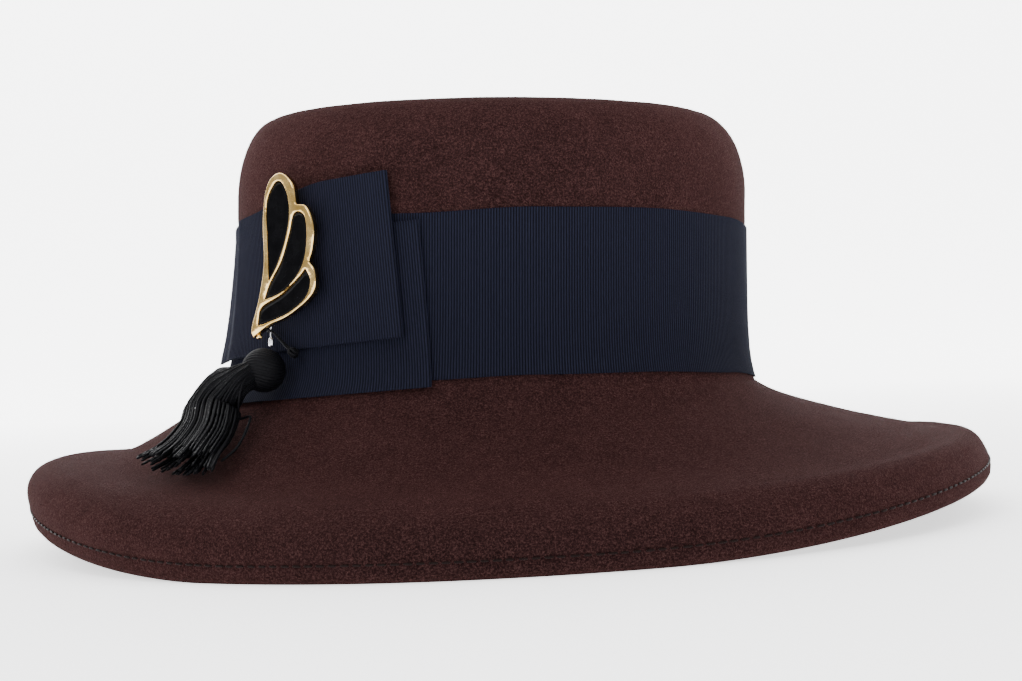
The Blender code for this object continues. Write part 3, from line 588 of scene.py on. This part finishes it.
def enamel_material(name, dark, light):
    material, tree, shader, where = new_material(name, 0.07)
    tone = noise_node(tree, where, 220, 2, 0.5)
    tree.links.new(ramp_node(tree, tone, ((0.3, dark), (0.8, light))), shader.inputs["Base Color"])
    waves = noise_node(tree, where, 180, 2, 0.5)
    add_bump(tree, shader, waves, 0.10, 0.0005)
    set_inputs(shader, {"Specular IOR Level": 0.06})
    return material


def floor_material(name):
    """Pale paper with a painted glow: it gives off light softly, weakest near the hat, which paints a soft
    shadow round it, and more so away from the hat.
    """
    material, tree, shader, where = new_material(name, 0.9)
    tone = noise_node(tree, where, 3, 2, 0.5)
    dark, light = FLOOR_COLOURS
    tree.links.new(ramp_node(tree, tone, ((0.3, dark), (0.7, light))), shader.inputs["Base Color"])
    distance = tree.nodes.new("ShaderNodeVectorMath")
    distance.operation = "LENGTH"
    tree.links.new(where, distance.inputs[0])
    # The floor's emission is painted light, and its fall towards the hat paints a soft shadow round the
    # hat.
    painted_glow = tree.nodes.new("ShaderNodeMapRange")
    painted_glow.inputs["From Min"].default_value, painted_glow.inputs["From Max"].default_value = PAINTED_GLOW_REACH
    painted_glow.inputs["To Min"].default_value, painted_glow.inputs["To Max"].default_value = PAINTED_GLOW_STRENGTH
    tree.links.new(distance.outputs["Value"], painted_glow.inputs["Value"])
    shader.inputs["Emission Color"].default_value = (1.0, 1.0, 1.0, 1.0)
    tree.links.new(painted_glow.outputs["Result"], shader.inputs["Emission Strength"])
    return material


# Felt: one blocked body with its turned hem, stitches and loose fibres
CROWN_RINGS = 34
FOLD_ANGLES = np.radians((18, 36, 54, 72, 90, 108, 126, 144, 162, 180))
UNDER_STEPS = 70


def felt_surface():
    """Rings of points over the felt, from the crown's top over the brim and back inside."""
    slope = math.tan(REST_TILT)
    hem_row = len(SECTIONS[0]) - 1 - HEM_STEPS
    domes = np.linspace(0.0, 1.0, CROWN_RINGS + 1)[1:-1]
    inner_rows = np.unique(np.linspace(0, hem_row, UNDER_STEPS).astype(int))[::-1]
    columns = []
    for bearing, rows in zip(SECTION_BEARINGS[:-1], SECTIONS):
        normals = section_normals(rows)
        direction = np.array(on_hat(bearing, 1.0, 0.0) - on_hat(bearing, 0.0, 0.0))
        base = np.array(on_hat(bearing, 0.0, 0.0))
        end, outwards = rows[-1], normals[-1]
        down = np.array([outwards[1], -outwards[0]])
        core = end - FELT_WALL * outwards
        fold = [core + FELT_WALL * (math.cos(a) * outwards + math.sin(a) * down) for a in FOLD_ANGLES]
        hem = rows[hem_row:-1][::-1] - 2 * FELT_WALL * normals[hem_row:-1][::-1]
        under = rows[inner_rows] - FELT_WALL * normals[inner_rows]
        flat = np.vstack([rows, fold, hem, under])
        points = base + np.outer(flat[:, 0], direction)
        points[:, 2] = flat[:, 1]
        places = rows_along(bearing, rows)
        ripple = wave(points[:len(rows)], places)
        points[:len(rows)] += (ripple * normals[:, 0])[:, None] * direction
        points[:len(rows), 2] += ripple * normals[:, 1]
        points[:, 2] = np.maximum(points[:, 2], slope * points[:, 0])
        edge, inner_edge = points[0], points[-1]
        upper = [dome_point(edge, k, CROWN_TOP) for k in domes]
        lower = [dome_point(inner_edge, k, CROWN_TOP - FELT_WALL) for k in domes[::-1]]
        columns.append(np.vstack([upper, points, lower]))
    return np.array(columns).transpose(1, 0, 2)


def dome_point(edge, share, middle_height):
    height = share * edge[2] + (1 - share) * middle_height + DOME_RISE * (1 - share ** 2)
    return (share * edge[0], share * edge[1], height)


def rows_along(bearing, rows):
    """How far each row lies above the band's top edge, and how far from the rim's stitches."""
    centre = band_height(bearing)
    above = rows[:, 1] - (centre + RIBBON_WIDTH / 2)
    below = (centre - RIBBON_WIDTH / 2) - rows[:, 1]
    run = lengths_of(rows)
    return above, below, run[-1] - run - STITCH_INSET


def wave(points, places):
    """Felt is never quite even: slow waves, a soft roll beside the band, and a stitched groove."""
    above, below, stitch = places
    outside = np.maximum(smooth_step(above, 0.0002, 0.004), smooth_step(below, 0.0002, 0.006))
    broad, fine = WAVE_SCALES
    slow = np.array([noise.noise(Vector(point) * broad) + 0.5 * noise.noise(Vector(point) * fine)
                     for point in points])
    groove = GROOVE_DEPTH * np.exp(-(stitch / GROOVE_WIDTH) ** 2)
    away = 1.0 - np.exp(-(stitch / HEM_DEPTH) ** 2)
    return outside * (FELT_WAVE * slow * away + FELT_SWELL) - groove


def make_felt(material):
    rings = felt_surface()
    count = rings.shape[1]
    points = rings.reshape(-1, 3)
    faces = ring_faces(rings.shape[0], count)
    last = (rings.shape[0] - 1) * count
    tops = [(0.0, 0.0, CROWN_TOP + DOME_RISE), (0.0, 0.0, CROWN_TOP - FELT_WALL + DOME_RISE)]
    for start, number in ((0, len(points)), (last, len(points) + 1)):
        faces += [(start + i, start + (i + 1) % count, number) for i in range(count)]
    points = np.vstack([points, tops])
    return add_piece("felt_hat", points, faces, material, "brown_felt", ["felt_body"])


def make_stitches(material):
    """A row of short stitches round the hem, sunk into the felt's groove."""
    rise = FELT_SWELL - GROOVE_DEPTH + 0.45 * STITCH_DIAMETER
    line = []
    for bearing, rows in zip(SECTION_BEARINGS, SECTIONS):
        place = lengths_of(rows)[-1] - STITCH_INSET
        line.append(over_face(bearing, rows, section_normals(rows), place, rise))
    line = np.array([tuple(point) for point in line])
    run = lengths_of(line)
    count = int(run[-1] / STITCH_PITCH)
    parts = []
    for number in range(count):
        start = run[-1] * number / count + CHANCE.uniform(-STITCH_DRIFT, STITCH_DRIFT)
        length = STITCH_LENGTH * CHANCE.uniform(*STITCH_SPREAD)
        places = np.linspace(start, start + length, 6)
        path = np.column_stack([np.interp(places, run, line[:, k]) for k in range(3)])
        parts.append(tube(path, STITCH_DIAMETER / 2, 6))
    return add_piece("hem_stitches", *joined(parts), material, "brown_felt")


def make_fibres(body, material):
    """Short loose fibres that lie over the felt and soften its edge."""
    mesh = body.data
    mesh.calc_loop_triangles()
    count = len(mesh.loop_triangles)
    corners = np.empty(count * 3, np.int32)
    mesh.loop_triangles.foreach_get("vertices", corners)
    coords = np.empty(len(mesh.vertices) * 3)
    mesh.vertices.foreach_get("co", coords)
    triangles = coords.reshape(-1, 3)[corners.reshape(-1, 3)]
    cross = np.cross(triangles[:, 1] - triangles[:, 0], triangles[:, 2] - triangles[:, 0])
    area = np.linalg.norm(cross, axis=1)
    rng = np.random.default_rng(5)
    picked = rng.choice(count, FIBRES, p=area / area.sum())
    u, v = rng.random(FIBRES), rng.random(FIBRES)
    over = u + v > 1
    u[over], v[over] = 1 - u[over], 1 - v[over]
    corner = triangles[picked]
    first, second = corner[:, 1] - corner[:, 0], corner[:, 2] - corner[:, 0]
    roots = corner[:, 0] + u[:, None] * first + v[:, None] * second
    normals = cross[picked] / area[picked][:, None]
    lean = rng.normal(size=(FIBRES, 3))
    lean -= normals * (lean * normals).sum(axis=1)[:, None]
    lean /= np.linalg.norm(lean, axis=1)[:, None]
    tilt = np.radians(rng.uniform(*FIBRE_TILTS, FIBRES))
    way = lean * np.cos(tilt)[:, None] + normals * np.sin(tilt)[:, None]
    length = rng.uniform(*FIBRE_LENGTHS, FIBRES)
    side = np.cross(way, normals)
    side /= np.linalg.norm(side, axis=1)[:, None]
    half = rng.uniform(*FIBRE_HALF_WIDTHS, FIBRES)[:, None]
    points = np.stack([roots - side * half, roots + side * half, roots + way * length[:, None]], axis=1)
    points[:, :, 2] = np.maximum(points[:, :, 2], FIBRE_CLEAR_OF_FLOOR)
    faces = np.arange(FIBRES * 3).reshape(-1, 3).tolist()
    return add_piece("felt_fibres", points.reshape(-1, 3), faces, material, "brown_felt",
                     upright=False, smooth=False)


# Ribbon: ribbed across its width, with a closed edge
BAND_ROWS = np.array([-0.5, -0.495, -0.48, -0.44, -0.38, -0.30, -0.15, 0.0, 0.2, 0.4, 0.48, 0.495, 0.5])


def rib_share(along):
    """The ribs' rounded tops with narrow valleys between them, from 0 to 1."""
    return np.abs(np.sin(math.pi * along / RIB_PITCH)) ** RIB_ROUND


SAG_DEPTH = 0.00035
SAG_SCALES = (28.0, 20.0)


def ribbon_sag(along, height):
    """How far a slack place of the band stands out."""
    place = Vector((along * SAG_SCALES[0], height * SAG_SCALES[1], 0.3))
    return SAG_DEPTH * (noise.noise(place) + 0.4)


def mark_ribs(piece, shares):
    """Keeps each point's height on its rib, from 0 to 1, for the ribbon's material, which paints shade into
    the valleys and a highlight onto the rib tops from it.
    """
    marks = piece.data.attributes.new("rib", "FLOAT", "POINT")
    marks.data.foreach_set("value", np.asarray(shares, np.float32))


def make_band(material):
    whole = ARC_LENGTHS[-1]
    count = round(whole / RIB_PITCH) * POINTS_PER_RIB
    pitch = whole / count * POINTS_PER_RIB
    rows = [[] for _ in range(2 * len(BAND_ROWS))]
    ribs = []
    for column in range(count):
        along = whole * column / count
        bearing = bearing_at(along)
        heights = band_height(bearing) + BAND_ROWS * RIBBON_WIDTH
        offsets = felt_offset(bearing, heights) + BAND_CLEARANCE
        ribs.append(abs(math.sin(math.pi * along / pitch)) ** RIB_ROUND)
        rib = RIB_HEIGHT * (ribs[-1] - 1.0)
        for row, (height, offset) in enumerate(zip(heights, offsets)):
            face = offset + RIBBON_THICKNESS + rib + max(0.0, ribbon_sag(along, height))
            rows[row].append(on_hat(bearing, face, height))
            rows[-1 - row].append(on_hat(bearing, offset, height))
    points = [point for row in rows for point in row]
    band = add_piece("hat_band_ribbon", points, ring_faces(len(rows), count, True), material,
                     "navy_grosgrain", ["hat_band"])
    mark_ribs(band, ribs * len(rows))


def front_standoff(along, heights):
    """Near the hat's front the ribbons hang a little away from the crown's foot."""
    near = 1.0 - smooth_step(along, *STANDOFF_ALONG)
    return near * np.interp(heights, STANDOFF_HEIGHTS, STANDOFFS)


def make_loop(name, start, length, centre, drop, lift, puff, dip, material, node):
    """A folded loop of ribbon: two layers with a soft roll at the fold that shows."""
    thick = LOOP_THICKNESS
    fold = thick + LOOP_GAP / 2

    def level(x):
        return thick * 1.5 + LOOP_GAP + puff * math.exp(-((length - x) / PUFF_REACH) ** 2)

    run = np.arange(fold, length - fold - puff / 2, RIB_PITCH / POINTS_PER_RIB)
    path = [(x, thick / 2) for x in run]
    top = level(run[-1])
    radius = (top - thick / 2) / 2
    turns = np.linspace(0, math.pi, 18)[1:-1]
    path += [(run[-1] + radius * math.sin(t), thick / 2 + radius * (1 - math.cos(t))) for t in turns]
    path += [(x, level(x)) for x in run[::-1]]
    small = (level(run[0]) - thick / 2) / 2
    path += [(run[0] - small * math.sin(t), level(run[0]) - small * (1 - math.cos(t))) for t in turns[::3]]
    path = np.array(path)
    ahead, behind = np.roll(path, -1, axis=0), np.roll(path, 1, axis=0)
    way = ahead - behind
    way /= np.linalg.norm(way, axis=1)[:, None]
    outwards = np.column_stack([way[:, 1], -way[:, 0]])
    lengths = lengths_of(path)
    ribs = rib_share(lengths)
    outer = path + outwards * (thick / 2 + RIB_HEIGHT * (ribs - 1.0))[:, None]
    inner = path - outwards * thick / 2
    tilt = math.atan2(drop, length)
    rings = []
    for line, shares in ((outer, BAND_ROWS), (inner, BAND_ROWS[::-1])):
        for share in shares:
            ring = []
            for x, rise in line:
                along = start + x - share * RIBBON_WIDTH * math.sin(tilt)
                height = FOOT_HEIGHT + centre - drop * (1 - x / length)
                height += share * RIBBON_WIDTH * math.cos(tilt)
                height -= dip(along, share)
                bearing = bearing_at(along)
                offset = float(felt_offset(bearing, height)) + lift(along)
                offset += front_standoff(along, height) + rise
                ring.append(on_hat(bearing, offset, height))
            rings.append(ring)
    points = [point for ring in rings for point in ring]
    faces = ring_faces(len(rings), len(path), True)
    loop = add_piece(name, points, faces, material, "navy_grosgrain", [node])
    mark_ribs(loop, np.tile(ribs, len(rings)))


def lower_lift(_along):
    return LAYER


def upper_lift(along):
    step = float(smooth_step(along, *(LOWER_LOOP_START - before for before in LOOP_STEP)))
    return LAYER + STEP_OVER_LOWER_LOOP * step


def no_dip(_along, _share):
    return 0.0


def pinned_dip(along, share):
    """The pin pulls the upper loop's top edge down beside the brooch."""
    fall = float(smooth_step(-along, *(-end for end in PIN_DIP_ALONG)))
    return max(0.0, share) * 2 * PIN_DIP * fall


# Brooch
def brooch_matrix():
    bearing = bearing_at(BROOCH_ALONG)
    height = FOOT_HEIGHT + BROOCH_CENTRE
    offset = float(felt_offset(bearing, height)) + BOW_FACE_LIFT + BROOCH_STANDOFF
    outwards = (on_hat(bearing, 1.0, 0.0) - on_hat(bearing, 0.0, 0.0)).normalized()
    outwards = Matrix.Rotation(BROOCH_TWIST, 3, "Z") @ outwards
    up = Vector((0.0, 0.0, 1.0))
    axes = Matrix((up.cross(outwards), up, outwards)).transposed().to_4x4()
    return Matrix.Translation(on_hat(bearing, offset, height)) @ axes


BROOCH = brooch_matrix()


def signed_area(points):
    x, y = points[:, 0], points[:, 1]
    return 0.5 * float(np.sum(x * np.roll(y, -1) - np.roll(x, -1) * y))


def outline_points(outline, steps, inset=0.0):
    """A closed outline in metres from the brooch's middle, smooth between its corners."""
    knots = [((u - 0.5) * BROOCH_WIDTH, (v - 0.5) * BROOCH_HEIGHT) for u, v, _ in outline]
    corners = [i for i, knot in enumerate(outline) if knot[2]]
    points = []
    for corner, following in zip(corners, corners[1:] + [corners[0] + len(knots)]):
        run = [knots[i % len(knots)] for i in range(corner, following + 1)]
        points += list(smooth_curve(run, steps)[:-1])
    points = np.array(points)
    tangents = np.roll(points, -1, axis=0) - np.roll(points, 1, axis=0)
    tangents /= np.linalg.norm(tangents, axis=1)[:, None]
    sign = 1.0 if signed_area(points) > 0 else -1.0
    return points + sign * inset * np.column_stack([-tangents[:, 1], tangents[:, 0]])


def filled(loops):
    return geometry.tessellate_polygon([[Vector((x, y, 0.0)) for x, y in loop] for loop in loops])


def walls(start_a, start_b, count):
    return [(start_a + i, start_a + (i + 1) % count, start_b + (i + 1) % count, start_b + i)
            for i in range(count)]


OUTLINE_STEPS = 10
CELL_DEPTH = 0.0016
ENAMEL_SUNK = 0.00045
BEAD_PLACE = (0.095, 0.006, 0.0012)
BEAD_RADIUS = 0.00105
PIN_SIDES = 20
EDGE_ROUND = ((0.00045, 0.0), (0.00026, 0.00008), (0.00012, 0.00022), (0.00003, 0.00042), (0.0, 0.00062))


def make_brooch_frame(material):
    """A cast plate whose rims and bars have rounded tops, with three sunk cells."""
    outer = outline_points(FRAME_OUTLINE, OUTLINE_STEPS)
    cells = [outline_points(outline, OUTLINE_STEPS) for outline in CELL_OUTLINES]
    points, faces = [], []

    def add_loop(loop, depth):
        start = len(points)
        points.extend(BROOCH @ Vector((x, y, depth)) for x, y in loop)
        return start

    def add_side(outline, sign):
        starts = []
        for inset, fall in EDGE_ROUND:
            loop = outline_points(outline, OUTLINE_STEPS, sign * inset)
            starts.append(add_loop(loop, BROOCH_THICKNESS - fall))
        return starts

    count = len(outer)
    rim = add_side(FRAME_OUTLINE, 1)
    back = add_loop(outer, 0.0)
    faces += [tuple(back + i for i in triangle) for triangle in filled([outer])]
    for above, below in zip(rim, rim[1:] + [back]):
        faces += walls(above, below, count)
    face_loops = [outline_points(FRAME_OUTLINE, OUTLINE_STEPS, EDGE_ROUND[0][0])]
    numbers = [rim[0] + i for i in range(count)]
    floor = BROOCH_THICKNESS - CELL_DEPTH
    for outline, cell in zip(CELL_OUTLINES, cells):
        size = len(cell)
        mouth = add_side(outline, -1)
        bottom = add_loop(cell, floor)
        for above, below in zip(mouth, mouth[1:] + [bottom]):
            faces += walls(above, below, size)
        faces += [tuple(bottom + i for i in triangle) for triangle in filled([cell])]
        face_loops.append(outline_points(outline, OUTLINE_STEPS, -EDGE_ROUND[0][0]))
        numbers += [mouth[0] + i for i in range(size)]
    faces += [tuple(numbers[i] for i in triangle) for triangle in filled(face_loops)]
    across, up, out = BEAD_PLACE
    bead_middle = BROOCH @ Vector(((across - 0.5) * BROOCH_WIDTH, (up - 0.5) * BROOCH_HEIGHT, out))
    bead = ball(bead_middle, BEAD_RADIUS, 14, 10)
    return add_piece("brooch_cast_frame", *joined([(points, faces), bead]), material, "gold",
                     ["brooch_frame"])


def ball(middle, radius, around, rows):
    points = []
    for row in range(rows):
        polar = math.pi * (row + 0.5) / rows
        for i in range(around):
            angle = TWO_PI * i / around
            points.append(middle + radius * Vector((math.sin(polar) * math.cos(angle),
                                                    math.sin(polar) * math.sin(angle), math.cos(polar))))
    return points, capped_faces(rows, around)


def make_enamel(number, material):
    """The filling of one cell, drawn slightly up at its edge and low in its middle."""
    points, faces, starts = [], [], []
    top = BROOCH_THICKNESS - ENAMEL_SUNK
    levels = ((0.0003, top - 0.0009), (0.0002, top), (0.0007, top - 0.00014), (0.0014, top - 0.0002))
    for inset, depth in levels:
        loop = outline_points(CELL_OUTLINES[number], OUTLINE_STEPS, inset)
        starts.append(len(points))
        points += [BROOCH @ Vector((x, y, depth)) for x, y in loop]
    count = len(loop)
    for above, below in zip(starts, starts[1:]):
        faces += walls(above, below, count)
    faces += [tuple(starts[0] + i for i in reversed(triangle)) for triangle in filled([loop])]
    faces += [tuple(starts[-1] + i for i in triangle) for triangle in filled([loop])]
    return add_piece(f"brooch_enamel_{number + 1}_fill", points, faces, material, "black_enamel",
                     [f"brooch_enamel_{number + 1}"])


def make_pin(material):
    across, depth = PIN_ACROSS * BROOCH_WIDTH, -(CLEARANCE + PIN_END_DIAMETER / 2)
    top, bottom = PIN_TOP - BROOCH_HEIGHT / 2, PIN_BOTTOM * BROOCH_HEIGHT
    thin, thick = PIN_DIAMETER / 2, PIN_END_DIAMETER / 2
    profile = [(top, 0.3 * thin), (top - thin, thin), (bottom + PIN_END_LENGTH, thin)]
    for step in range(13):
        share = step / 12
        swell = math.sqrt(max(0.0, 1 - (2 * share - 1) ** 4))
        profile.append((bottom + PIN_END_LENGTH * (0.95 - 0.95 * share), max(0.2 * thick, thick * swell)))
    points = []
    for height, radius in profile:
        for i in range(PIN_SIDES):
            angle = TWO_PI * i / PIN_SIDES
            place = (across + radius * math.cos(angle), height, depth + radius * math.sin(angle))
            points.append(BROOCH @ Vector(place))
    faces = capped_faces(len(profile), PIN_SIDES)
    return add_piece("brooch_steel_pin", points, faces, material, "steel_pin", ["brooch_pin"])


# Tassel: cord round the pin, knot, wound head and a skirt of twisted cords
def tassel_places():
    bearing = bearing_at(TASSEL_ALONG)
    height = FOOT_HEIGHT + TASSEL_HEAD_RISE
    offset = float(felt_offset(bearing, height)) + BOW_FACE_LIFT + CLEARANCE + TASSEL_HEAD_DIAMETER / 2
    aside = bearing_at(TASSEL_ALONG + TASSEL_KNOT_ASIDE)
    raised = height + TASSEL_KNOT_RISE
    seat = float(felt_offset(aside, raised)) + BOW_FACE_LIFT + CLEARANCE + TASSEL_KNOT_DIAMETER / 2
    return bearing, offset, on_hat(bearing, offset, height), on_hat(aside, seat, raised)


def skirt_stations(steps):
    """The skirt's middle line with its half width and half thickness as vectors."""
    bearing, offset, head, _ = tassel_places()
    sections = [dict(zip(SKIRT_COLUMNS, row)) for row in SKIRT_SECTIONS]
    middles = []
    for row in sections:
        middles.append(brim_place(bearing_at(row["along"]), offset, row["distance"], row["rise"]))
    to_skirt = (middles[0] - head).normalized()
    side = Vector((math.sin(bearing), -math.cos(bearing), 0.0))
    neck = head + to_skirt * TASSEL_HEAD_DIAMETER / 2 * NECK_INSIDE_HEAD
    first = sections[0]
    rows = [(neck, 0.0, NECK_WIDTH * first["half_width"], first["half_thickness"])]
    rows += [(middle, row["distance"], row["half_width"], row["half_thickness"])
             for middle, row in zip(middles, sections)]
    knots = []
    for number, (middle, distance, half_width, half_thickness) in enumerate(rows):
        ahead, behind = rows[min(number + 1, len(rows) - 1)][0], rows[max(number - 1, 0)][0]
        way = (ahead - behind).normalized()
        turn = 1.0 - float(smooth_step(distance, 0.0, SKIRT_TURN))
        square = (side - way * side.dot(way) * turn).normalized()
        across = square * half_width
        over = square.cross(way).normalized() * half_thickness
        knots.append((*middle, *across, *over))
    return [(Vector(row[:3]), Vector(row[3:6]), Vector(row[6:])) for row in smooth_curve(knots, steps)]


SKIRT_STEPS = 14
HEAD_RIDGE = 0.06
HEAD_THREADS = 30
KNOT_TURN_RADIUS = 0.0016
KNOT_CORD_RADIUS = 0.00062
KNOT_TURNS = ((0.3, 0.0), (1.3, 0.9), (1.1, 2.4))
# How deep the groove between a cord's two plies is, and the length of one of their turns
SKIRT_TWIST = (0.38, 0.0021)
KNOT_TWIST = (0.35, 0.0018)
CORD_TWIST = (0.35, 0.0024)
# The slipped cord: along the skirt, out from its middle and over it, as shares of its sizes
STRAND_KNOTS = ((0.05, 0.80, 0.4), (0.16, 1.10, 0.0), (0.34, 1.22, -0.4), (0.52, 1.20, -0.6),
                (0.70, 1.08, -0.7), (0.84, 0.92, -0.7))


def make_tassel(material):
    """Everything of black thread below the pin, as the real tassel is one made-up piece."""
    _, _, head, knot = tassel_places()
    stations = skirt_stations(SKIRT_STEPS)
    parts = []
    for number in range(TASSEL_CORDS):
        angle = TWO_PI * (number * 0.618034 % 1.0)
        radius = math.sqrt(CHANCE.random()) * 0.75 if number % 3 == 0 else CHANCE.uniform(0.80, 0.96)
        start, end = CHANCE.uniform(-0.5, 0.5), CHANCE.uniform(-0.16, 0.06)
        last = int(len(stations) * (1 + min(0.0, end))) - 1
        path = []
        for step, (middle, across, over) in enumerate(stations[:last]):
            share = step / len(stations)
            spin = angle + 0.35 * share * start
            sway = 0.03 * math.sin(7 * share + number)
            path.append(middle + across * (radius * math.cos(spin) + sway) + over * radius * math.sin(spin))
        parts.append(tube(path, TASSEL_CORD_DIAMETER / 2, 6, *SKIRT_TWIST, number))
    add_piece("tassel_skirt", *joined(parts), material, "black_thread", ["tassel"])
    parts = [wound_head(head, knot, stations[0][0])]
    parts += knot_rings(knot)
    parts.append(tube(loose_strand(stations), TASSEL_CORD_DIAMETER / 2, 6, *SKIRT_TWIST))
    add_piece("tassel_head", *joined(parts), material, "black_thread")
    cord = tube(cord_path(), CORD_DIAMETER / 2, 8, *CORD_TWIST)
    add_piece("tassel_hanging_loop", *cord, material, "black_thread", ["tassel_loop"])


def wound_head(head, knot, neck):
    """A ball wound with thread: fine ridges that run slantwise from the knot to the neck."""
    axis = (knot - neck).normalized()
    side = axis.orthogonal().normalized()
    over = axis.cross(side)
    radius = TASSEL_HEAD_DIAMETER / 2
    around, rows = 240, 60
    points = []
    for row in range(rows + 1):
        polar = math.pi * (0.03 + 0.94 * row / rows)
        for i in range(around):
            angle = TWO_PI * i / around
            ridge = abs(math.sin(HEAD_THREADS / 2 * (angle + 0.9 * polar)))
            reach = radius * (1 - HEAD_RIDGE + HEAD_RIDGE * ridge ** 0.7)
            points.append(head + axis * math.cos(polar) * reach * 0.98
                          + (side * math.cos(angle) + over * math.sin(angle)) * math.sin(polar) * reach)
    return points, capped_faces(rows + 1, around)


def knot_rings(knot):
    """The knot above the head: three turns of cord drawn over each other."""
    parts = []
    for tilt, spin in KNOT_TURNS:
        turn = Matrix.Rotation(spin, 3, "Z") @ Matrix.Rotation(tilt, 3, "X")
        path = []
        for i in range(41):
            angle = TWO_PI * i / 40
            bend = Vector((math.cos(angle), math.sin(angle), 0.25 * math.sin(2 * angle)))
            path.append(knot + turn @ bend * KNOT_TURN_RADIUS)
        parts.append(tube(path, KNOT_CORD_RADIUS, 8, *KNOT_TWIST))
    return parts


def loose_strand(stations):
    """One cord that has slipped out of the skirt and hangs in an open loop beside it."""
    knots = []
    for share, out, rise in STRAND_KNOTS:
        middle, across, over = stations[int(share * (len(stations) - 1))]
        knots.append(middle - across * out + over * rise)
    return [Vector(point) for point in smooth_curve([tuple(knot) for knot in knots], 16)]


def cord_path():
    """The tassel's cord: up from the knot, round the pin under the brooch, and back to the knot."""
    across, depth = PIN_ACROSS * BROOCH_WIDTH, -(CLEARANCE + PIN_END_DIAMETER / 2)
    knot = BROOCH.inverted() @ tassel_places()[3]
    radius = (PIN_DIAMETER + CORD_DIAMETER) / 2 + CLEARANCE
    level = PIN_BOTTOM * BROOCH_HEIGHT + PIN_END_LENGTH + 1.6 * CORD_DIAMETER
    round_pin = [Vector((across + radius * math.cos(angle), level + 0.4 * CORD_DIAMETER * math.sin(angle),
                         depth + radius * math.sin(angle)))
                 for angle in map(math.radians, (20, 90, 160, 225, 290))]
    spread = Vector((0.0, 0.0, CORD_DIAMETER / 2 + CLEARANCE))
    reach = 0.25 * TASSEL_KNOT_DIAMETER
    ends = []
    for sign, target in ((1, round_pin[0]), (-1, round_pin[-1])):
        aim = Vector(((target - knot).x, (target - knot).y, 0.0)).normalized() * reach
        ends.append(knot + aim + sign * spread)
    path = [ends[0], ends[0].lerp(round_pin[0], 0.5)] + round_pin
    path += [ends[1].lerp(round_pin[-1], 0.5), ends[1]]
    return [BROOCH @ Vector(point) for point in smooth_curve([tuple(point) for point in path], 12)]


# Room, light and camera
def make_stage():
    """A pale floor that curves up into a pale wall behind the hat."""
    profile = [(FLOOR_START, 0.0), (SWEEP_RADIUS, 0.0)]
    profile += [(SWEEP_RADIUS + SWEEP_RADIUS * math.sin(a), SWEEP_RADIUS - SWEEP_RADIUS * math.cos(a))
                for a in np.radians(np.linspace(5, 90, 18))]
    profile.append((2 * SWEEP_RADIUS, WALL_HEIGHT))
    points = [(x, y, z) for y, z in profile for x in (-FLOOR_HALF_WIDTH, FLOOR_HALF_WIDTH)]
    faces = [(2 * i, 2 * i + 1, 2 * i + 3, 2 * i + 2) for i in range(len(profile) - 1)]
    mesh = bpy.data.meshes.new("floor")
    mesh.from_pydata(points, [], faces)
    mesh.shade_smooth()
    mesh.materials.append(floor_material("pale_floor_painted_glow"))
    add_object("floor", mesh)


def add_light(name, place, target, size, power):
    light = bpy.data.lights.new(name, "AREA")
    light.shape = "RECTANGLE"
    light.size, light.size_y = size
    light.energy = power
    lamp = add_object(name, light)
    lamp.location = place
    lamp.rotation_euler = (Vector(target) - Vector(place)).to_track_quat("-Z", "Y").to_euler()


def make_lights():
    for row in LIGHTS:
        add_light(*row)
    world = bpy.data.worlds.new("room")
    world.use_nodes = True
    background = world.node_tree.nodes["Background"]
    background.inputs["Color"].default_value = (1.0, 1.0, 1.0, 1.0)
    background.inputs["Strength"].default_value = ROOM_BRIGHTNESS
    bpy.context.scene.world = world


def make_camera():
    camera = bpy.data.cameras.new("camera")
    camera.sensor_width = CAMERA_SENSOR
    camera.lens = CAMERA_LENS
    camera.clip_start = 0.01
    eye = add_object("camera", camera)
    level = Matrix.Rotation(math.pi / 2, 4, "X")
    eye.matrix_world = REST @ Matrix.Translation(CAMERA_PLACE) @ level
    bpy.context.scene.camera = eye


def main():
    felt = felt_material("brown_felt_nap", *FELT_COLOURS)
    fibre = felt_material("brown_felt_fibre", *FIBRE_COLOURS)
    seam = thread_material("brown_hem_thread", *SEAM_COLOURS)
    ribbon = ribbon_material("navy_grosgrain_ribs", *RIBBON_COLOURS)
    gold = metal_material("gold_polish", *GOLD_COLOURS, 0.16)
    enamel = enamel_material("black_enamel_gloss", *ENAMEL_COLOURS)
    steel = metal_material("steel_bright", *STEEL_COLOURS, 0.2)
    thread = thread_material("black_twisted_thread", *THREAD_COLOURS)
    make_stage()
    make_lights()
    make_camera()
    body = make_felt(felt)
    make_stitches(seam)
    make_fibres(body, fibre)
    make_band(ribbon)
    make_loop("bow_lower_ribbon", LOWER_LOOP_START, LOWER_LOOP_LENGTH, LOWER_LOOP_CENTRE, LOWER_LOOP_DROP,
              lower_lift, LOWER_PUFF, no_dip, ribbon, "bow_lower_loop")
    make_loop("bow_upper_ribbon", UPPER_LOOP_START, UPPER_LOOP_LENGTH, UPPER_LOOP_CENTRE, UPPER_LOOP_DROP,
              upper_lift, UPPER_PUFF, pinned_dip, ribbon, "bow_upper_loop")
    make_brooch_frame(gold)
    for number in range(len(CELL_OUTLINES)):
        make_enamel(number, enamel)
    make_pin(steel)
    make_tassel(thread)


main()
